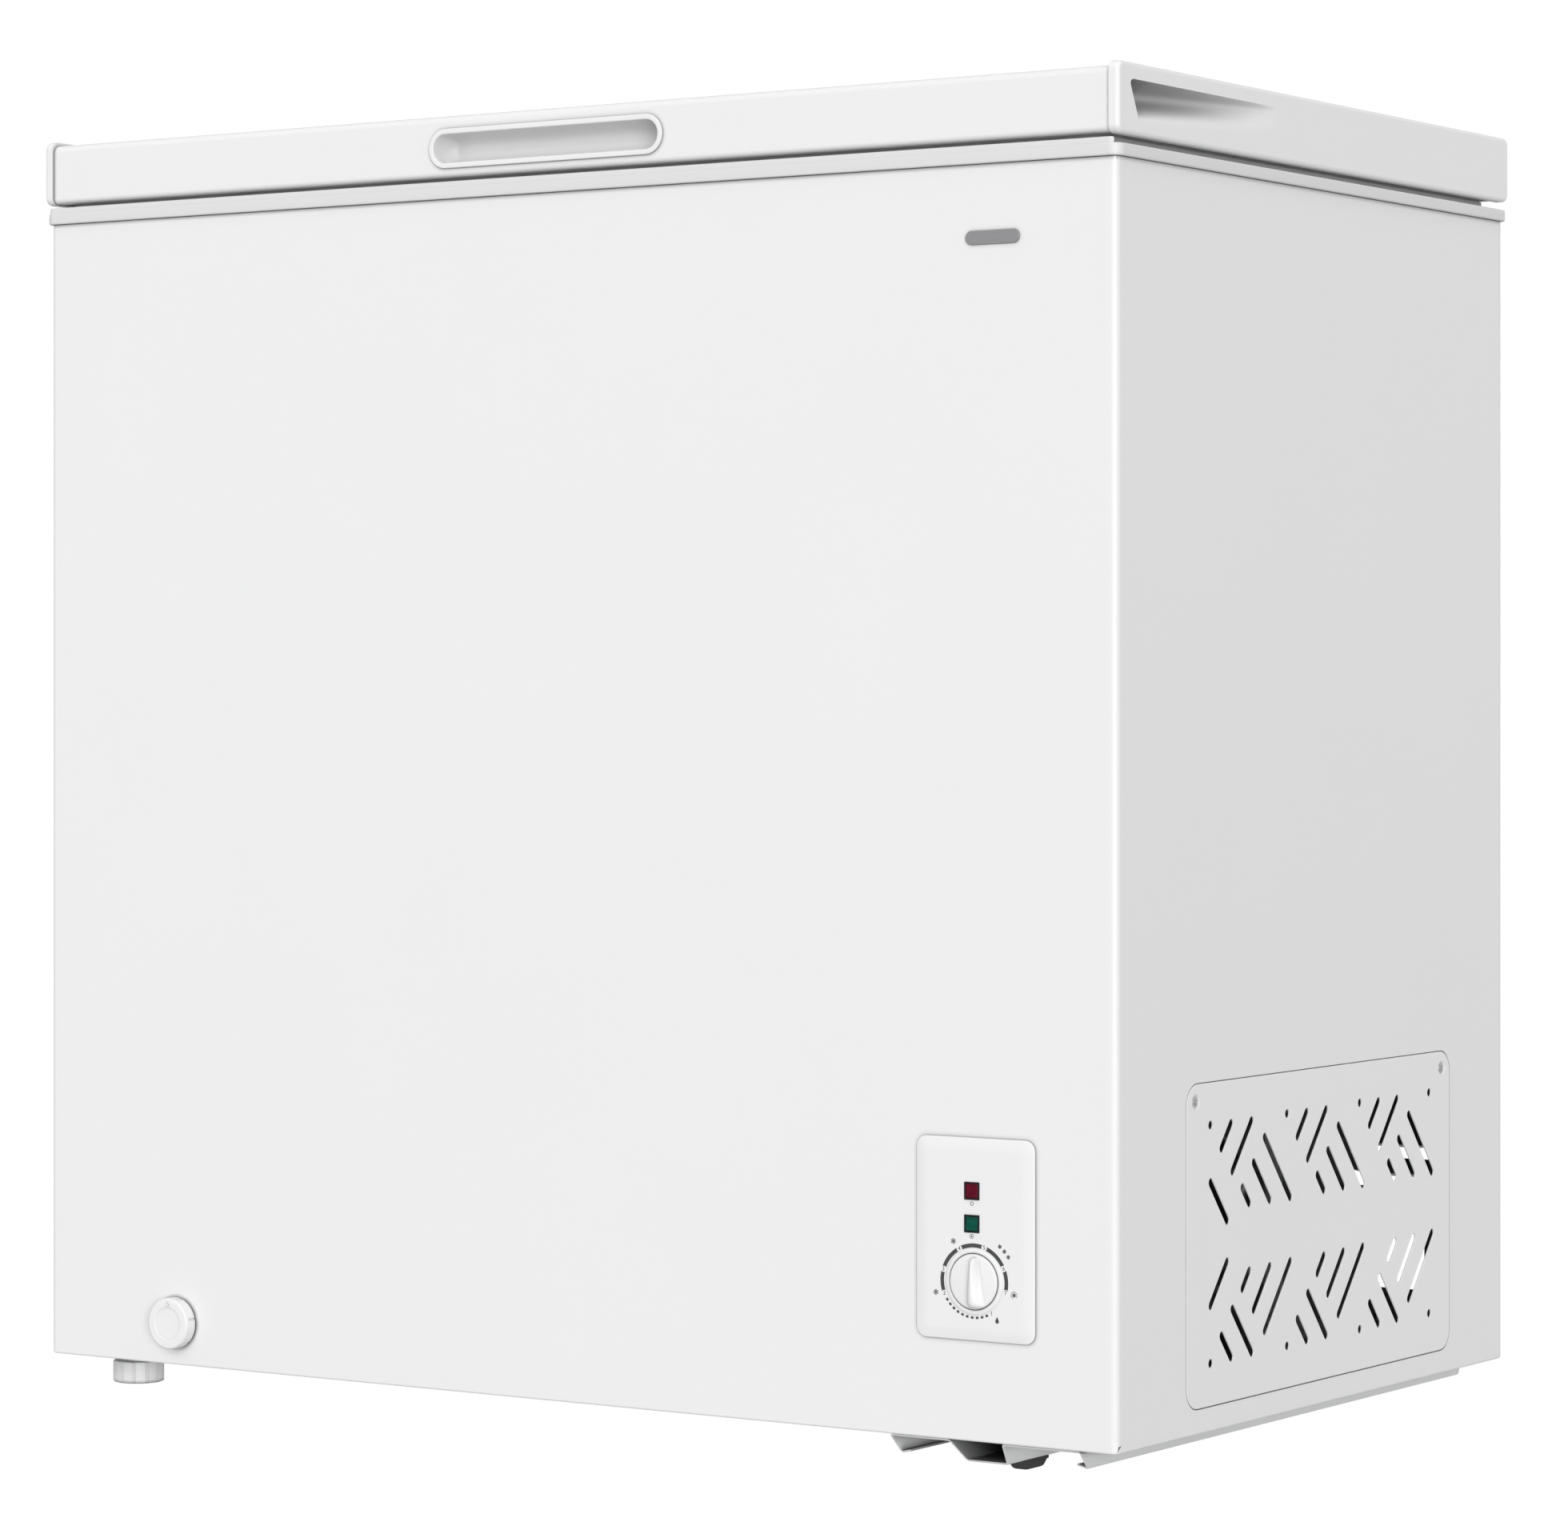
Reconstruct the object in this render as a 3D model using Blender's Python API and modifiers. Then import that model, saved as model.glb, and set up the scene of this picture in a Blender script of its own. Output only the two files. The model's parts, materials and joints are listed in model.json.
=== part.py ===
"""Chest freezer: insulated cabinet with a stepped tub, compressor bay and control panel, and a hinged lid.

Metres, +Z up. The front faces -Y and the compressor bay is on the +X side. The origin is on the floor at the
centre of the whole object's footprint.
"""

import math

import bmesh
import bpy
from mathutils import Vector

# Driving dimensions
WIDTH = 0.835
DEPTH = 0.5235
HEIGHT = 0.845
BODY_Z = 0.021
BODY_TOP = 0.7885
BACK_TOP = 0.7795
FRONT = -0.265
BACK = FRONT + DEPTH
SIDE = WIDTH / 2
MID_Y = (FRONT + BACK) / 2
SKIN = 0.0008
GAP = 0.0003
WALL = 0.058
CORNER = 0.0045

# Collar and lid
RIM = 0.003
BAND_TOP = 0.7965
SEAL_Z = 0.7985
LID_Z = 0.8018
PANEL_INSET = 0.0018
PANEL_TOP = 0.8425
PANEL_BOTTOM = 0.8028
LID_SKIN = 0.0007
LID_FOAM_X = 0.3980
CAP_WRAP = 0.0068
PANEL_END = SIDE + RIM - CAP_WRAP

# Tub
LINER = 0.001
FLOOR_Z = 0.080
STEP_X = 0.176
STEP_Z = 0.332
COIL_SPACE = 0.009
TUB_RADIUS = 0.017

# Compressor bay
BAY_X = 0.2345
BAY_TOP = 0.275
PLATE_Z = 0.0218
PLATE = 0.0012
COMPRESSOR = (0.322, -0.050)
COMPRESSOR_Z = 0.0380
MOUNT_PITCH = (0.096, 0.150)
FILTER = (0.250, -0.180)
SENSOR_TOP = (0.352, -0.190, 0.300)

# Places on the front and the side
PANEL_X = 0.3205
PANEL_Z = 0.1429
KNOB_Z = 0.1176
LAMP_X = 0.3188
LAMP_ZS = (0.1719, 0.1522)
LAMP_SIDE = 0.0106
DRAIN_X = -0.3057
DRAIN_Y = -0.172
DRAIN_Z = 0.0495
FOOT_X = -0.378
FOOT_INSET = 0.045
HANDLE_Z = 0.8211
HINGE_XS = (-0.27, 0.27)
HINGE_Y = BACK + 0.0125
HINGE_Z = 0.801

# Side grille: a plate let into the skin with play all round, held from behind by its flange.
# One group of slots is (distance from the group's first hole, height above the middle, length, angle);
# the lower row mirrors the upper one.
VENT_Y = -0.0017
VENT_Z = 0.1352
VENT_SIZE = (0.3575, 0.1973)
VENT_CORNER = 0.0135
VENT_PLAY = 0.0007
VENT_PROUD = 0.0004
VENT_THICK = 0.0018
VENT_FLANGE = 0.005
VENT_FRAME = 0.015
GROUP_START = -0.1489
GROUP_PITCH = 0.0991
HOLE_HEIGHT = 0.0726
SLOT_WIDTH = 0.0043
GROUP_SLOTS = (
    (0.0201, 0.0645, 0.0245, 50),
    (0.0403, 0.0569, 0.0439, 50),
    (0.0865, 0.0401, 0.0579, -50),
    (0.0658, 0.0331, 0.0380, -50),
    (0.0452, 0.0260, 0.0190, -50),
)
FIRST_SLOT = (0.0107, 0.0251, 0.0381, -50)
VENT_SCREWS = ((-0.1674, 0.0878), (0.1667, 0.0875))
SEAT = 0.0009

# Hand scoops in the lid's end caps
SCOOP_TOP = 0.8350
SCOOP_LOW = 0.8095
SCOOP_DEPTH = 0.0150
SCOOP_SECTION = ((0.0145, SCOOP_TOP - 0.002), (0.0180, SCOOP_TOP), (0.1930, SCOOP_TOP), (0.0217, SCOOP_LOW))
SCOOP_FLOOR = (0.024, 0.060)
SCOOP_WALL = 0.0015

PARTS = "chest_freezer"
CUTTERS = "cutters"


def clear_scene():
    for obj in list(bpy.data.objects):
        bpy.data.objects.remove(obj, do_unlink=True)


def collection(name):
    made = bpy.data.collections.new(name)
    bpy.context.scene.collection.children.link(made)
    return made


def material(name, colour, roughness, metallic=0.0):
    made = bpy.data.materials.new(name)
    made.use_nodes = True
    shader = made.node_tree.nodes["Principled BSDF"]
    shader.inputs["Base Color"].default_value = (*colour, 1.0)
    shader.inputs["Roughness"].default_value = roughness
    shader.inputs["Metallic"].default_value = metallic
    return made


clear_scene()
parts = collection(PARTS)
cutters = collection(CUTTERS)
cutters.hide_render = True

WHITE_PAINT = material("white_paint", (0.86, 0.86, 0.86), 0.3)
WHITE_PLASTIC = material("white_plastic", (0.85, 0.85, 0.85), 0.4)
LINER_METAL = material("liner_metal", (0.88, 0.88, 0.88), 0.35, 0.2)
FOAM = material("foam", (0.85, 0.76, 0.5), 0.9)
GREY_RUBBER = material("grey_rubber", (0.5, 0.5, 0.5), 0.7)
BLACK_RUBBER = material("black_rubber", (0.03, 0.03, 0.03), 0.8)
ZINC = material("zinc", (0.6, 0.62, 0.63), 0.35, 0.9)
COPPER = material("copper", (0.7, 0.35, 0.2), 0.3, 1.0)
STEEL_TUBE = material("steel_tube", (0.45, 0.45, 0.46), 0.4, 0.9)
BLACK_PAINT = material("black_paint", (0.02, 0.02, 0.02), 0.35)
BLACK_PLASTIC = material("black_plastic", (0.03, 0.03, 0.03), 0.5)
RED_LENS = material("red_lens", (0.13, 0.0, 0.02), 0.15)
GREEN_LENS = material("green_lens", (0.0, 0.08, 0.05), 0.15)
BADGE_GREY = material("badge_grey", (0.38, 0.38, 0.38), 0.4, 0.5)
BASKET_WIRE = material("basket_wire", (0.85, 0.85, 0.85), 0.35)


# Object helpers


def put(obj, finish, parent=None):
    """Gives the object its material and, with a parent, keeps its world place."""
    parts.objects.link(obj)
    if finish:
        obj.data.materials.append(finish)
    if parent:
        obj.parent = parent
        obj.location -= parent.location
    return obj


def helper(obj):
    """A cutter, or a shape that a Boolean joins to a part."""
    cutters.objects.link(obj)
    obj.hide_render = True
    obj.display_type = "WIRE"
    return obj


def axis_empty(name, place):
    empty = bpy.data.objects.new(name, None)
    empty.location = place
    empty.empty_display_size = 0.03
    parts.objects.link(empty)
    return empty


def boolean(obj, other, operation):
    helper(other)
    modifier = obj.modifiers.new(other.name, "BOOLEAN")
    modifier.operation = operation
    modifier.object = other
    modifier.solver = "EXACT"
    return obj


def cut(obj, *others):
    for other in others:
        boolean(obj, other, "DIFFERENCE")
    return obj


def join(obj, *others):
    for other in others:
        boolean(obj, other, "UNION")
    return obj


def from_bmesh(name, shape, place=(0, 0, 0)):
    bmesh.ops.recalc_face_normals(shape, faces=shape.faces)
    mesh = bpy.data.meshes.new(name)
    shape.to_mesh(mesh)
    shape.free()
    obj = bpy.data.objects.new(name, mesh)
    obj.location = place
    return obj


def box(name, low, high, radius=0.0, along=None, segments=3):
    """A box between two corners, rounded on the edges that run along the named axes, or on all of them."""
    low, high = Vector(low), Vector(high)
    shape = bmesh.new()
    bmesh.ops.create_cube(shape, size=1.0)
    bmesh.ops.scale(shape, vec=high - low, verts=shape.verts)
    if radius:
        chosen = []
        for edge in shape.edges:
            run = edge.verts[1].co - edge.verts[0].co
            axis = max(range(3), key=lambda i: abs(run[i]))
            if along is None or "xyz"[axis] in along:
                chosen.append(edge)
        bmesh.ops.bevel(shape, geom=chosen, offset=radius, segments=segments, profile=0.5, affect="EDGES")
    return from_bmesh(name, shape, (low + high) / 2)


def lathe(name, profile, place, steps=24, turn=(0, 0, 0)):
    """A turned solid: profile is (radius, height) from the top, down the outer side, to the bottom."""
    mesh = bpy.data.meshes.new(name)
    points = [(radius, 0, height) for radius, height in profile]
    mesh.from_pydata(points, [(i, i + 1) for i in range(len(points) - 1)], [])
    obj = bpy.data.objects.new(name, mesh)
    obj.location = place
    obj.rotation_euler = turn
    screw = obj.modifiers.new("turn", "SCREW")
    screw.axis = "Z"
    screw.steps = steps
    screw.render_steps = steps
    screw.use_merge_vertices = True
    screw.merge_threshold = 0.00001
    screw.use_smooth_shade = True
    return obj


def tube(name, points, radius, sides=1, closed=False):
    """A filled tube along a line of points; sides is the curve's bevel resolution."""
    data = bpy.data.curves.new(name, "CURVE")
    data.dimensions = "3D"
    data.bevel_depth = radius
    data.bevel_resolution = sides
    data.use_fill_caps = True
    spline = data.splines.new("POLY")
    spline.points.add(len(points) - 1)
    spline.use_cyclic_u = closed
    for point, place in zip(spline.points, points):
        point.co = (*place, 1.0)
    return bpy.data.objects.new(name, data)


def as_mesh(curve):
    """The curve object as a closed mesh object, which a Boolean can take."""
    name = curve.name
    bpy.context.scene.collection.objects.link(curve)
    bpy.context.view_layer.update()
    evaluated = curve.evaluated_get(bpy.context.evaluated_depsgraph_get())
    mesh = bpy.data.meshes.new_from_object(evaluated)
    matrix = curve.matrix_world.copy()
    bpy.data.objects.remove(curve, do_unlink=True)
    shape = bmesh.new()
    shape.from_mesh(mesh)
    bmesh.ops.remove_doubles(shape, verts=shape.verts, dist=0.00002)
    bmesh.ops.recalc_face_normals(shape, faces=shape.faces)
    shape.to_mesh(mesh)
    shape.free()
    obj = bpy.data.objects.new(name, mesh)
    obj.matrix_world = matrix
    return obj


def cut_out(name, outlines, thickness, place, turn=(0, 0, 0)):
    """A flat plate from closed outlines: the first is its edge and the others are holes."""
    data = bpy.data.curves.new(name, "CURVE")
    data.dimensions = "2D"
    data.fill_mode = "BOTH"
    data.extrude = thickness / 2
    for outline in outlines:
        spline = data.splines.new("POLY")
        spline.points.add(len(outline) - 1)
        spline.use_cyclic_u = True
        for point, place_2d in zip(spline.points, outline):
            point.co = (*place_2d, 0.0, 1.0)
    obj = bpy.data.objects.new(name, data)
    obj.location = place
    obj.rotation_euler = turn
    return as_mesh(obj)


FACING_FRONT = (math.radians(90), 0, 0)
FACING_RIGHT = (math.radians(90), 0, math.radians(90))
FACING_BACK = (math.radians(90), 0, math.radians(180))
FACING_SIDE = (0, math.radians(90), 0)


def arc(centre, radius, start, end, steps):
    """Points round an arc, with its angles in degrees."""
    found = []
    for step in range(steps + 1):
        angle = math.radians(start + (end - start) * step / steps)
        found.append((centre[0] + radius * math.cos(angle), centre[1] + radius * math.sin(angle)))
    return found


def slot_outline(centre, length, width, angle=0.0, steps=3):
    """A slot with round ends."""
    run = (length - width) / 2
    step = (run * math.cos(math.radians(angle)), run * math.sin(math.radians(angle)))
    head = (centre[0] + step[0], centre[1] + step[1])
    tail = (centre[0] - step[0], centre[1] - step[1])
    first = arc(head, width / 2, angle - 90, angle + 90, steps)
    return first + arc(tail, width / 2, angle + 90, angle + 270, steps)


def circle_outline(centre, radius, steps=10):
    return arc(centre, radius, 0, 360, steps)[:-1]


def rectangle_outline(centre, size, radius, steps=3):
    x, y = size[0] / 2 - radius, size[1] / 2 - radius
    found = []
    for sx, sy, start in ((1, 1, 0), (-1, 1, 90), (-1, -1, 180), (1, -1, 270)):
        found += arc((centre[0] + sx * x, centre[1] + sy * y), radius, start, start + 90, steps)
    return found


def ring(name, section, centre, size, steps=3):
    """A closed ring round a rectangle; each section point is (inset, height, corner radius)."""
    shape = bmesh.new()
    loops = []
    for inset, height, radius in section:
        outline = rectangle_outline(centre, (size[0] - 2 * inset, size[1] - 2 * inset), radius, steps)
        loops.append([shape.verts.new((x, y, height)) for x, y in outline])
    for first, second in zip(loops, loops[1:] + loops[:1]):
        for i in range(len(first)):
            j = (i + 1) % len(first)
            shape.faces.new((first[i], first[j], second[j], second[i]))
    return from_bmesh(name, shape)


def tray(name, section, centre, size, thickness, steps=3):
    """An open sheet pressed from a rectangle, thickened upwards; the last section point closes it."""
    shape = bmesh.new()
    loops = []
    for inset, height, radius in section:
        outline = rectangle_outline(centre, (size[0] - 2 * inset, size[1] - 2 * inset), radius, steps)
        loops.append([shape.verts.new((x, y, height)) for x, y in outline])
    for first, second in zip(loops, loops[1:]):
        for i in range(len(first)):
            j = (i + 1) % len(first)
            shape.faces.new((first[j], first[i], second[i], second[j]))
    shape.faces.new(loops[-1][::-1])
    mesh = bpy.data.meshes.new(name)
    shape.to_mesh(mesh)
    shape.free()
    obj = bpy.data.objects.new(name, mesh)
    solid = obj.modifiers.new("thickness", "SOLIDIFY")
    solid.thickness = thickness
    solid.offset = -1.0
    solid.use_even_offset = True
    return obj


def strip(name, profile, start, end, thickness, along="x", offset=1.0):
    """A folded sheet: profile is its line across the fold axis, run from start to end and thickened."""
    shape = bmesh.new()
    rows = []
    for at in (start, end):
        if along == "x":
            rows.append([shape.verts.new((at, a, b)) for a, b in profile])
        else:
            rows.append([shape.verts.new((a, at, b)) for a, b in profile])
    for i in range(len(profile) - 1):
        shape.faces.new((rows[0][i], rows[0][i + 1], rows[1][i + 1], rows[1][i]))
    mesh = bpy.data.meshes.new(name)
    shape.to_mesh(mesh)
    shape.free()
    obj = bpy.data.objects.new(name, mesh)
    solid = obj.modifiers.new("thickness", "SOLIDIFY")
    solid.thickness = thickness
    solid.offset = offset
    solid.use_even_offset = True
    return obj


def hull(name, points):
    shape = bmesh.new()
    for point in points:
        shape.verts.new(point)
    made = bmesh.ops.convex_hull(shape, input=shape.verts)
    left_over = made["geom_interior"] + made["geom_unused"]
    spare = {item for item in left_over if isinstance(item, bmesh.types.BMVert)}
    bmesh.ops.delete(shape, geom=list(spare), context="VERTS")
    return from_bmesh(name, shape)


def post(name, place, radius, length, axis="z", steps=16):
    """A plain cylinder whose base is at place and which runs along the axis."""
    shape = bmesh.new()
    bmesh.ops.create_cone(
        shape, cap_ends=True, segments=steps, radius1=radius, radius2=radius, depth=length
    )
    bmesh.ops.translate(shape, vec=(0, 0, length / 2), verts=shape.verts)
    obj = from_bmesh(name, shape, place)
    turns = {"x": FACING_SIDE, "y": (math.radians(-90), 0, 0), "z": (0, 0, 0)}
    obj.rotation_euler = turns[axis]
    return obj


# Cabinet


def vent_plate(name, grow, near, far):
    """A plate in the grille's outline, grown all round, between two distances across the cabinet."""
    half, tall = VENT_SIZE[0] / 2 + grow, VENT_SIZE[1] / 2 + grow
    low, high = (near, VENT_Y - half, VENT_Z - tall), (far, VENT_Y + half, VENT_Z + tall)
    return box(name, low, high, max(VENT_CORNER + grow, 0.004), "x", 4)


def outer_shell():
    """The painted steel wrap: front and both sides, with short returns at the rear corners."""
    half = SIDE
    returns = 0.014
    line = [(half - returns, BACK)]
    line += arc((half - CORNER, BACK - CORNER), CORNER, 90, 0, 3)
    line += arc((half - CORNER, FRONT + CORNER), CORNER, 0, -90, 3)
    line += arc((-half + CORNER, FRONT + CORNER), CORNER, -90, -180, 3)
    line += arc((-half + CORNER, BACK - CORNER), CORNER, 180, 90, 3)
    line += [(-half + returns, BACK)]
    shape = bmesh.new()
    low = [shape.verts.new((x, y, BODY_Z)) for x, y in line]
    high = [shape.verts.new((x, y, BODY_TOP)) for x, y in line]
    for i in range(len(line) - 1):
        shape.faces.new((low[i], high[i], high[i + 1], low[i + 1]))
    mesh = bpy.data.meshes.new("outer_shell")
    shape.to_mesh(mesh)
    shape.free()
    obj = bpy.data.objects.new("outer_shell", mesh)
    solid = obj.modifiers.new("thickness", "SOLIDIFY")
    solid.thickness = SKIN
    solid.offset = -1.0
    vent = vent_plate("shell_vent_hole", VENT_PLAY, half - 0.01, half + 0.01)
    panel = box(
        "shell_panel_hole",
        (PANEL_X - 0.034, FRONT - 0.01, PANEL_Z - 0.053),
        (PANEL_X + 0.034, FRONT + 0.01, PANEL_Z + 0.053),
    )
    drain = post("shell_drain_hole", (DRAIN_X, FRONT - 0.01, DRAIN_Z), 0.0105, 0.03, "y")
    cut(obj, vent, panel, drain)
    return put(obj, WHITE_PAINT)


def back_panel():
    """The sheet between the rear returns, with the opening of the compressor bay."""
    plane = BACK - SKIN - GAP - 0.0004
    hole = rectangle_outline((-0.325, -0.2597), (0.150, 0.205), 0.006)
    z = (BODY_Z + BACK_TOP) / 2
    edge = rectangle_outline((0, 0), (2 * (SIDE - CORNER), BACK_TOP - BODY_Z - 0.001), 0.0006, 1)
    return put(cut_out("back_panel", [edge, hole], 0.0008, (0, plane, z), FACING_BACK), WHITE_PAINT)


def bottom_panel():
    """The sheet under the foam, from the left side to the bay."""
    low = (-SIDE + SKIN + GAP, FRONT + SKIN + GAP, BODY_Z + GAP)
    high = (BAY_X - 0.002, BACK - 0.0025, BODY_Z + GAP + SKIN)
    obj = box("bottom_panel", low, high, radius=0.004, along="z")
    holes = [post(f"bottom_hole_{i}", (FOOT_X, y, 0.01), 0.0055, 0.03) for i, y in enumerate(foot_ys())]
    return put(cut(obj, *holes), ZINC)


def collar_frame():
    """The plastic frame round the mouth: a band over the edge of the steel and a flat land for the seal."""
    leg = RIM + SKIN + 0.0007
    mouth = RIM + WALL + 0.002
    section = (
        (0.0, BODY_TOP + GAP, CORNER + RIM),
        (0.0, BAND_TOP - 0.0008, CORNER + RIM),
        (0.0008, BAND_TOP, CORNER + RIM),
        (0.0088, SEAL_Z - 0.0008, 0.006),
        (0.0110, SEAL_Z, 0.006),
        (mouth - 0.0015, SEAL_Z, TUB_RADIUS),
        (mouth, SEAL_Z - 0.0015, TUB_RADIUS - 0.0020),
        (mouth, 0.770, TUB_RADIUS - 0.0020),
        (mouth - 0.0017, 0.770, TUB_RADIUS - GAP),
        (mouth - 0.0017, SEAL_Z - 0.0022, TUB_RADIUS - GAP),
        (leg + 0.002, SEAL_Z - 0.0040, 0.004),
        (leg + 0.002, 0.780, 0.004),
        (leg, 0.780, 0.005),
        (leg, BODY_TOP + GAP, 0.005),
    )
    return put(ring("collar_frame", section, (0, MID_Y), (WIDTH + 2 * RIM, DEPTH + 2 * RIM)), WHITE_PLASTIC)


def tub(name, grow, top):
    """The stepped cavity as a solid: its front outline run through the depth, rounded at both ends."""
    x, step, low, high = SIDE - WALL + grow, STEP_X + grow, FLOOR_Z - grow, STEP_Z - grow
    convex, concave = TUB_RADIUS + 0.005 + grow, TUB_RADIUS + 0.005 - grow
    outline = [(-x, top)]
    outline += arc((-x + convex, low + convex), convex, 180, 270, 3)
    outline += arc((step - convex, low + convex), convex, 270, 360, 3)
    outline += arc((step + concave, high - concave), concave, 180, 90, 3)
    outline += arc((x - convex, high + convex), convex, 270, 360, 3)
    outline += [(x, top)]
    front, back = FRONT + WALL - grow, BACK - WALL + grow
    shape = bmesh.new()
    face = shape.faces.new([shape.verts.new((a, front, b)) for a, b in outline])
    pushed = bmesh.ops.extrude_face_region(shape, geom=[face])
    moved = [item for item in pushed["geom"] if isinstance(item, bmesh.types.BMVert)]
    bmesh.ops.translate(shape, vec=(0, back - front, 0), verts=moved)
    ends = []
    for edge in shape.edges:
        a, b = (vert.co for vert in edge.verts)
        if abs(a.y - b.y) < 1e-6 and min(a.z, b.z) < top - 1e-6:
            ends.append(edge)
    bmesh.ops.bevel(shape, geom=ends, offset=TUB_RADIUS + grow, segments=3, profile=0.5, affect="EDGES")
    return from_bmesh(name, shape)


def inner_liner():
    """The stepped tub, open at the top, with a drain hole in its floor."""
    obj = tub("inner_liner", LINER, 0.850)
    hollow = tub("liner_hollow", 0.0, 0.860)
    mouth = box("liner_mouth", (-1, -1, SEAL_Z - 0.0026), (1, 1, 1))
    drain = post("liner_drain", (DRAIN_X, DRAIN_Y, FLOOR_Z - 0.01), 0.0075, 0.02)
    return put(cut(obj, hollow, mouth, drain), LINER_METAL)


def foam_insulation():
    """The foam fill, with room for the coils, the bay, the drain, the sensor and the rear service chase."""
    low = (-SIDE + 0.0075, FRONT + 0.0075, PLATE_Z + 0.001)
    high = (SIDE - 0.0015, BACK - 0.0025, 0.7785)
    obj = box("foam_insulation", low, high, radius=0.016, along="z", segments=2)
    hollow = tub("foam_hollow", LINER + COIL_SPACE, 0.9)
    bay = box("foam_bay", (BAY_X - 0.0005, -1, -1), (1, 1, BAY_TOP + 0.0005))
    chase = box("foam_chase", (0.298, 0.190, 0.26), (0.337, 0.238, 0.735))
    sensor = post("foam_sensor", SENSOR_TOP[:2] + (0.26,), 0.004, 0.08)
    drain = as_mesh(tube("foam_drain", drain_route(0.02), 0.0105, 2))
    feet = [post(f"foam_foot_{i}", (FOOT_X, y, 0.01), 0.0055, 0.04) for i, y in enumerate(foot_ys())]
    return put(cut(obj, hollow, bay, chase, sensor, drain, *feet), FOAM)


def foot_ys():
    return (FRONT + FOOT_INSET, BACK - FOOT_INSET)


def drain_route(extra=0.0):
    """From under the tub's floor down, round the bend and out through the front."""
    bend = 0.014
    points = [(DRAIN_X, DRAIN_Y, FLOOR_Z - LINER - GAP + extra)]
    for a, b in arc((DRAIN_Y - bend, DRAIN_Z + bend), bend, 0, -90, 4):
        points.append((DRAIN_X, a, b))
    points.append((DRAIN_X, FRONT - 0.0005 - extra, DRAIN_Z))
    return points


def drain_tube():
    obj = as_mesh(tube("drain_tube", drain_route(), 0.0095, 2))
    bore = as_mesh(tube("drain_bore", drain_route(0.01), 0.0075, 2))
    return put(cut(obj, bore), WHITE_PLASTIC)


def turned_corner(centre, radius, start, end, z, steps=3):
    return [(x, y, z) for x, y in arc(centre, radius, start, end, steps)]


def evaporator_coil():
    """A tube wound four times round the tub above the step, with both ends led down the rear chase."""
    off = LINER + COIL_SPACE / 2
    x, front, back = SIDE - WALL + off, FRONT + WALL - off, BACK - WALL + off
    turns, low, high, bend = 4, 0.372, 0.708, 0.020
    corners = (
        ((-x + bend, back - bend), 90, 180),
        ((-x + bend, front + bend), 180, 270),
        ((x - bend, front + bend), 270, 360),
        ((x - bend, back - bend), 0, 90),
    )
    rise = (high - low) / turns
    points = [(0.328, 0.224, 0.262), (0.328, 0.224, low - 0.02)]
    points += [(0.322, back + 0.004, low - 0.004), (0.305, back, low)]
    for turn in range(turns):
        for place, (centre, start, end) in enumerate(corners):
            z = low + rise * (turn + (place + 1) / 4.3)
            points += turned_corner(centre, bend, start, end, z)
    points += [(0.325, back, high), (0.314, back + 0.006, high + 0.006), (0.308, 0.224, high - 0.005)]
    points += [(0.308, 0.224, 0.262)]
    return put(tube("evaporator_coil", points, 0.003), COPPER)


def condenser_coil():
    """A tube laid to and fro on the inside of the front and left skins, with both ends in the bay."""
    y, x = FRONT + 0.0041, -SIDE + 0.0041
    rows, first, pitch, bend = 6, 0.110, 0.120, 0.012
    right, rear = 0.180, 0.185
    points = [(0.258, y, first)]
    for row in range(rows):
        z = first + pitch * row
        corner = turned_corner((x + bend, y + bend), bend, -90, -180, z)
        if row % 2 == 0:
            points += corner
            points += [(x, a, b) for a, b in arc((rear, z + pitch / 2), pitch / 2, -90, 90, 4)]
        else:
            points += corner[::-1]
            if row < rows - 1:
                points += [(a, y, b) for a, b in arc((right, z + pitch / 2), pitch / 2, -90, 90, 4)]
    last = first + pitch * (rows - 1)
    points += [(0.225, y, last), (0.262, y, last - 0.04), (0.262, y, 0.241)]
    return put(tube("condenser_coil", points, 0.0024), STEEL_TUBE)


def badge():
    """A blank name plate."""
    edge = slot_outline((0, 0), 0.038, 0.0085, 0, 4)
    place = (0.3321, FRONT - GAP - 0.0004, 0.7445)
    return put(cut_out("badge", [edge], 0.0008, place, FACING_FRONT), BADGE_GREY)


# Compressor bay


def housing_panel():
    """The sheet between the foam and the bay: a wall and a roof."""
    profile = [(BAY_X, PLATE_Z), (BAY_X, BAY_TOP - 0.001), (SIDE - 0.0015, BAY_TOP - 0.001)]
    obj = strip("housing_panel", profile, FRONT + 0.0085, BACK - 0.0030, 0.001, "y", -1.0)
    chase = box("housing_chase", (0.300, 0.215, 0.26), (0.336, 0.233, 0.29))
    sensor = post("housing_sensor", SENSOR_TOP[:2] + (0.26,), 0.004, 0.03, "z", 10)
    return put(cut(obj, chase, sensor), ZINC)


def compressor_base_plate():
    low = (BAY_X + 0.0015, FRONT + 0.0020, PLATE_Z + GAP)
    high = (SIDE - 0.0020, BACK - 0.0025, PLATE_Z + GAP + PLATE)
    return put(box("compressor_base_plate", low, high, 0.004, "z", 2), ZINC)


def base_runner():
    """The pressing under the base plate: a flange each side, a channel between and raked front ends."""
    top = PLATE_Z - 0.0015
    profile = [
        (0.2665, 0.0100),
        (0.2592, 0.0082),
        (0.2585, top),
        (0.3005, top),
        (0.3050, 0.0068),
        (0.3335, 0.0068),
        (0.3380, top),
        (0.3915, top),
        (0.3905, 0.0092),
        (0.3845, 0.0115),
    ]
    obj = strip("base_runner", profile, FRONT + 0.0015, BACK - 0.0100, 0.0012, "y", 0.0)
    near, far, low = FRONT + 0.0015, FRONT + 0.0225, -0.0005
    section = ((FRONT - 0.02, 0.0205), (near, 0.0205), (far, low), (FRONT - 0.02, low))
    rake = hull("runner_rake", [(x, y, z) for x in (0.2, 0.42) for y, z in section])
    return put(cut(obj, rake), ZINC)


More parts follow.
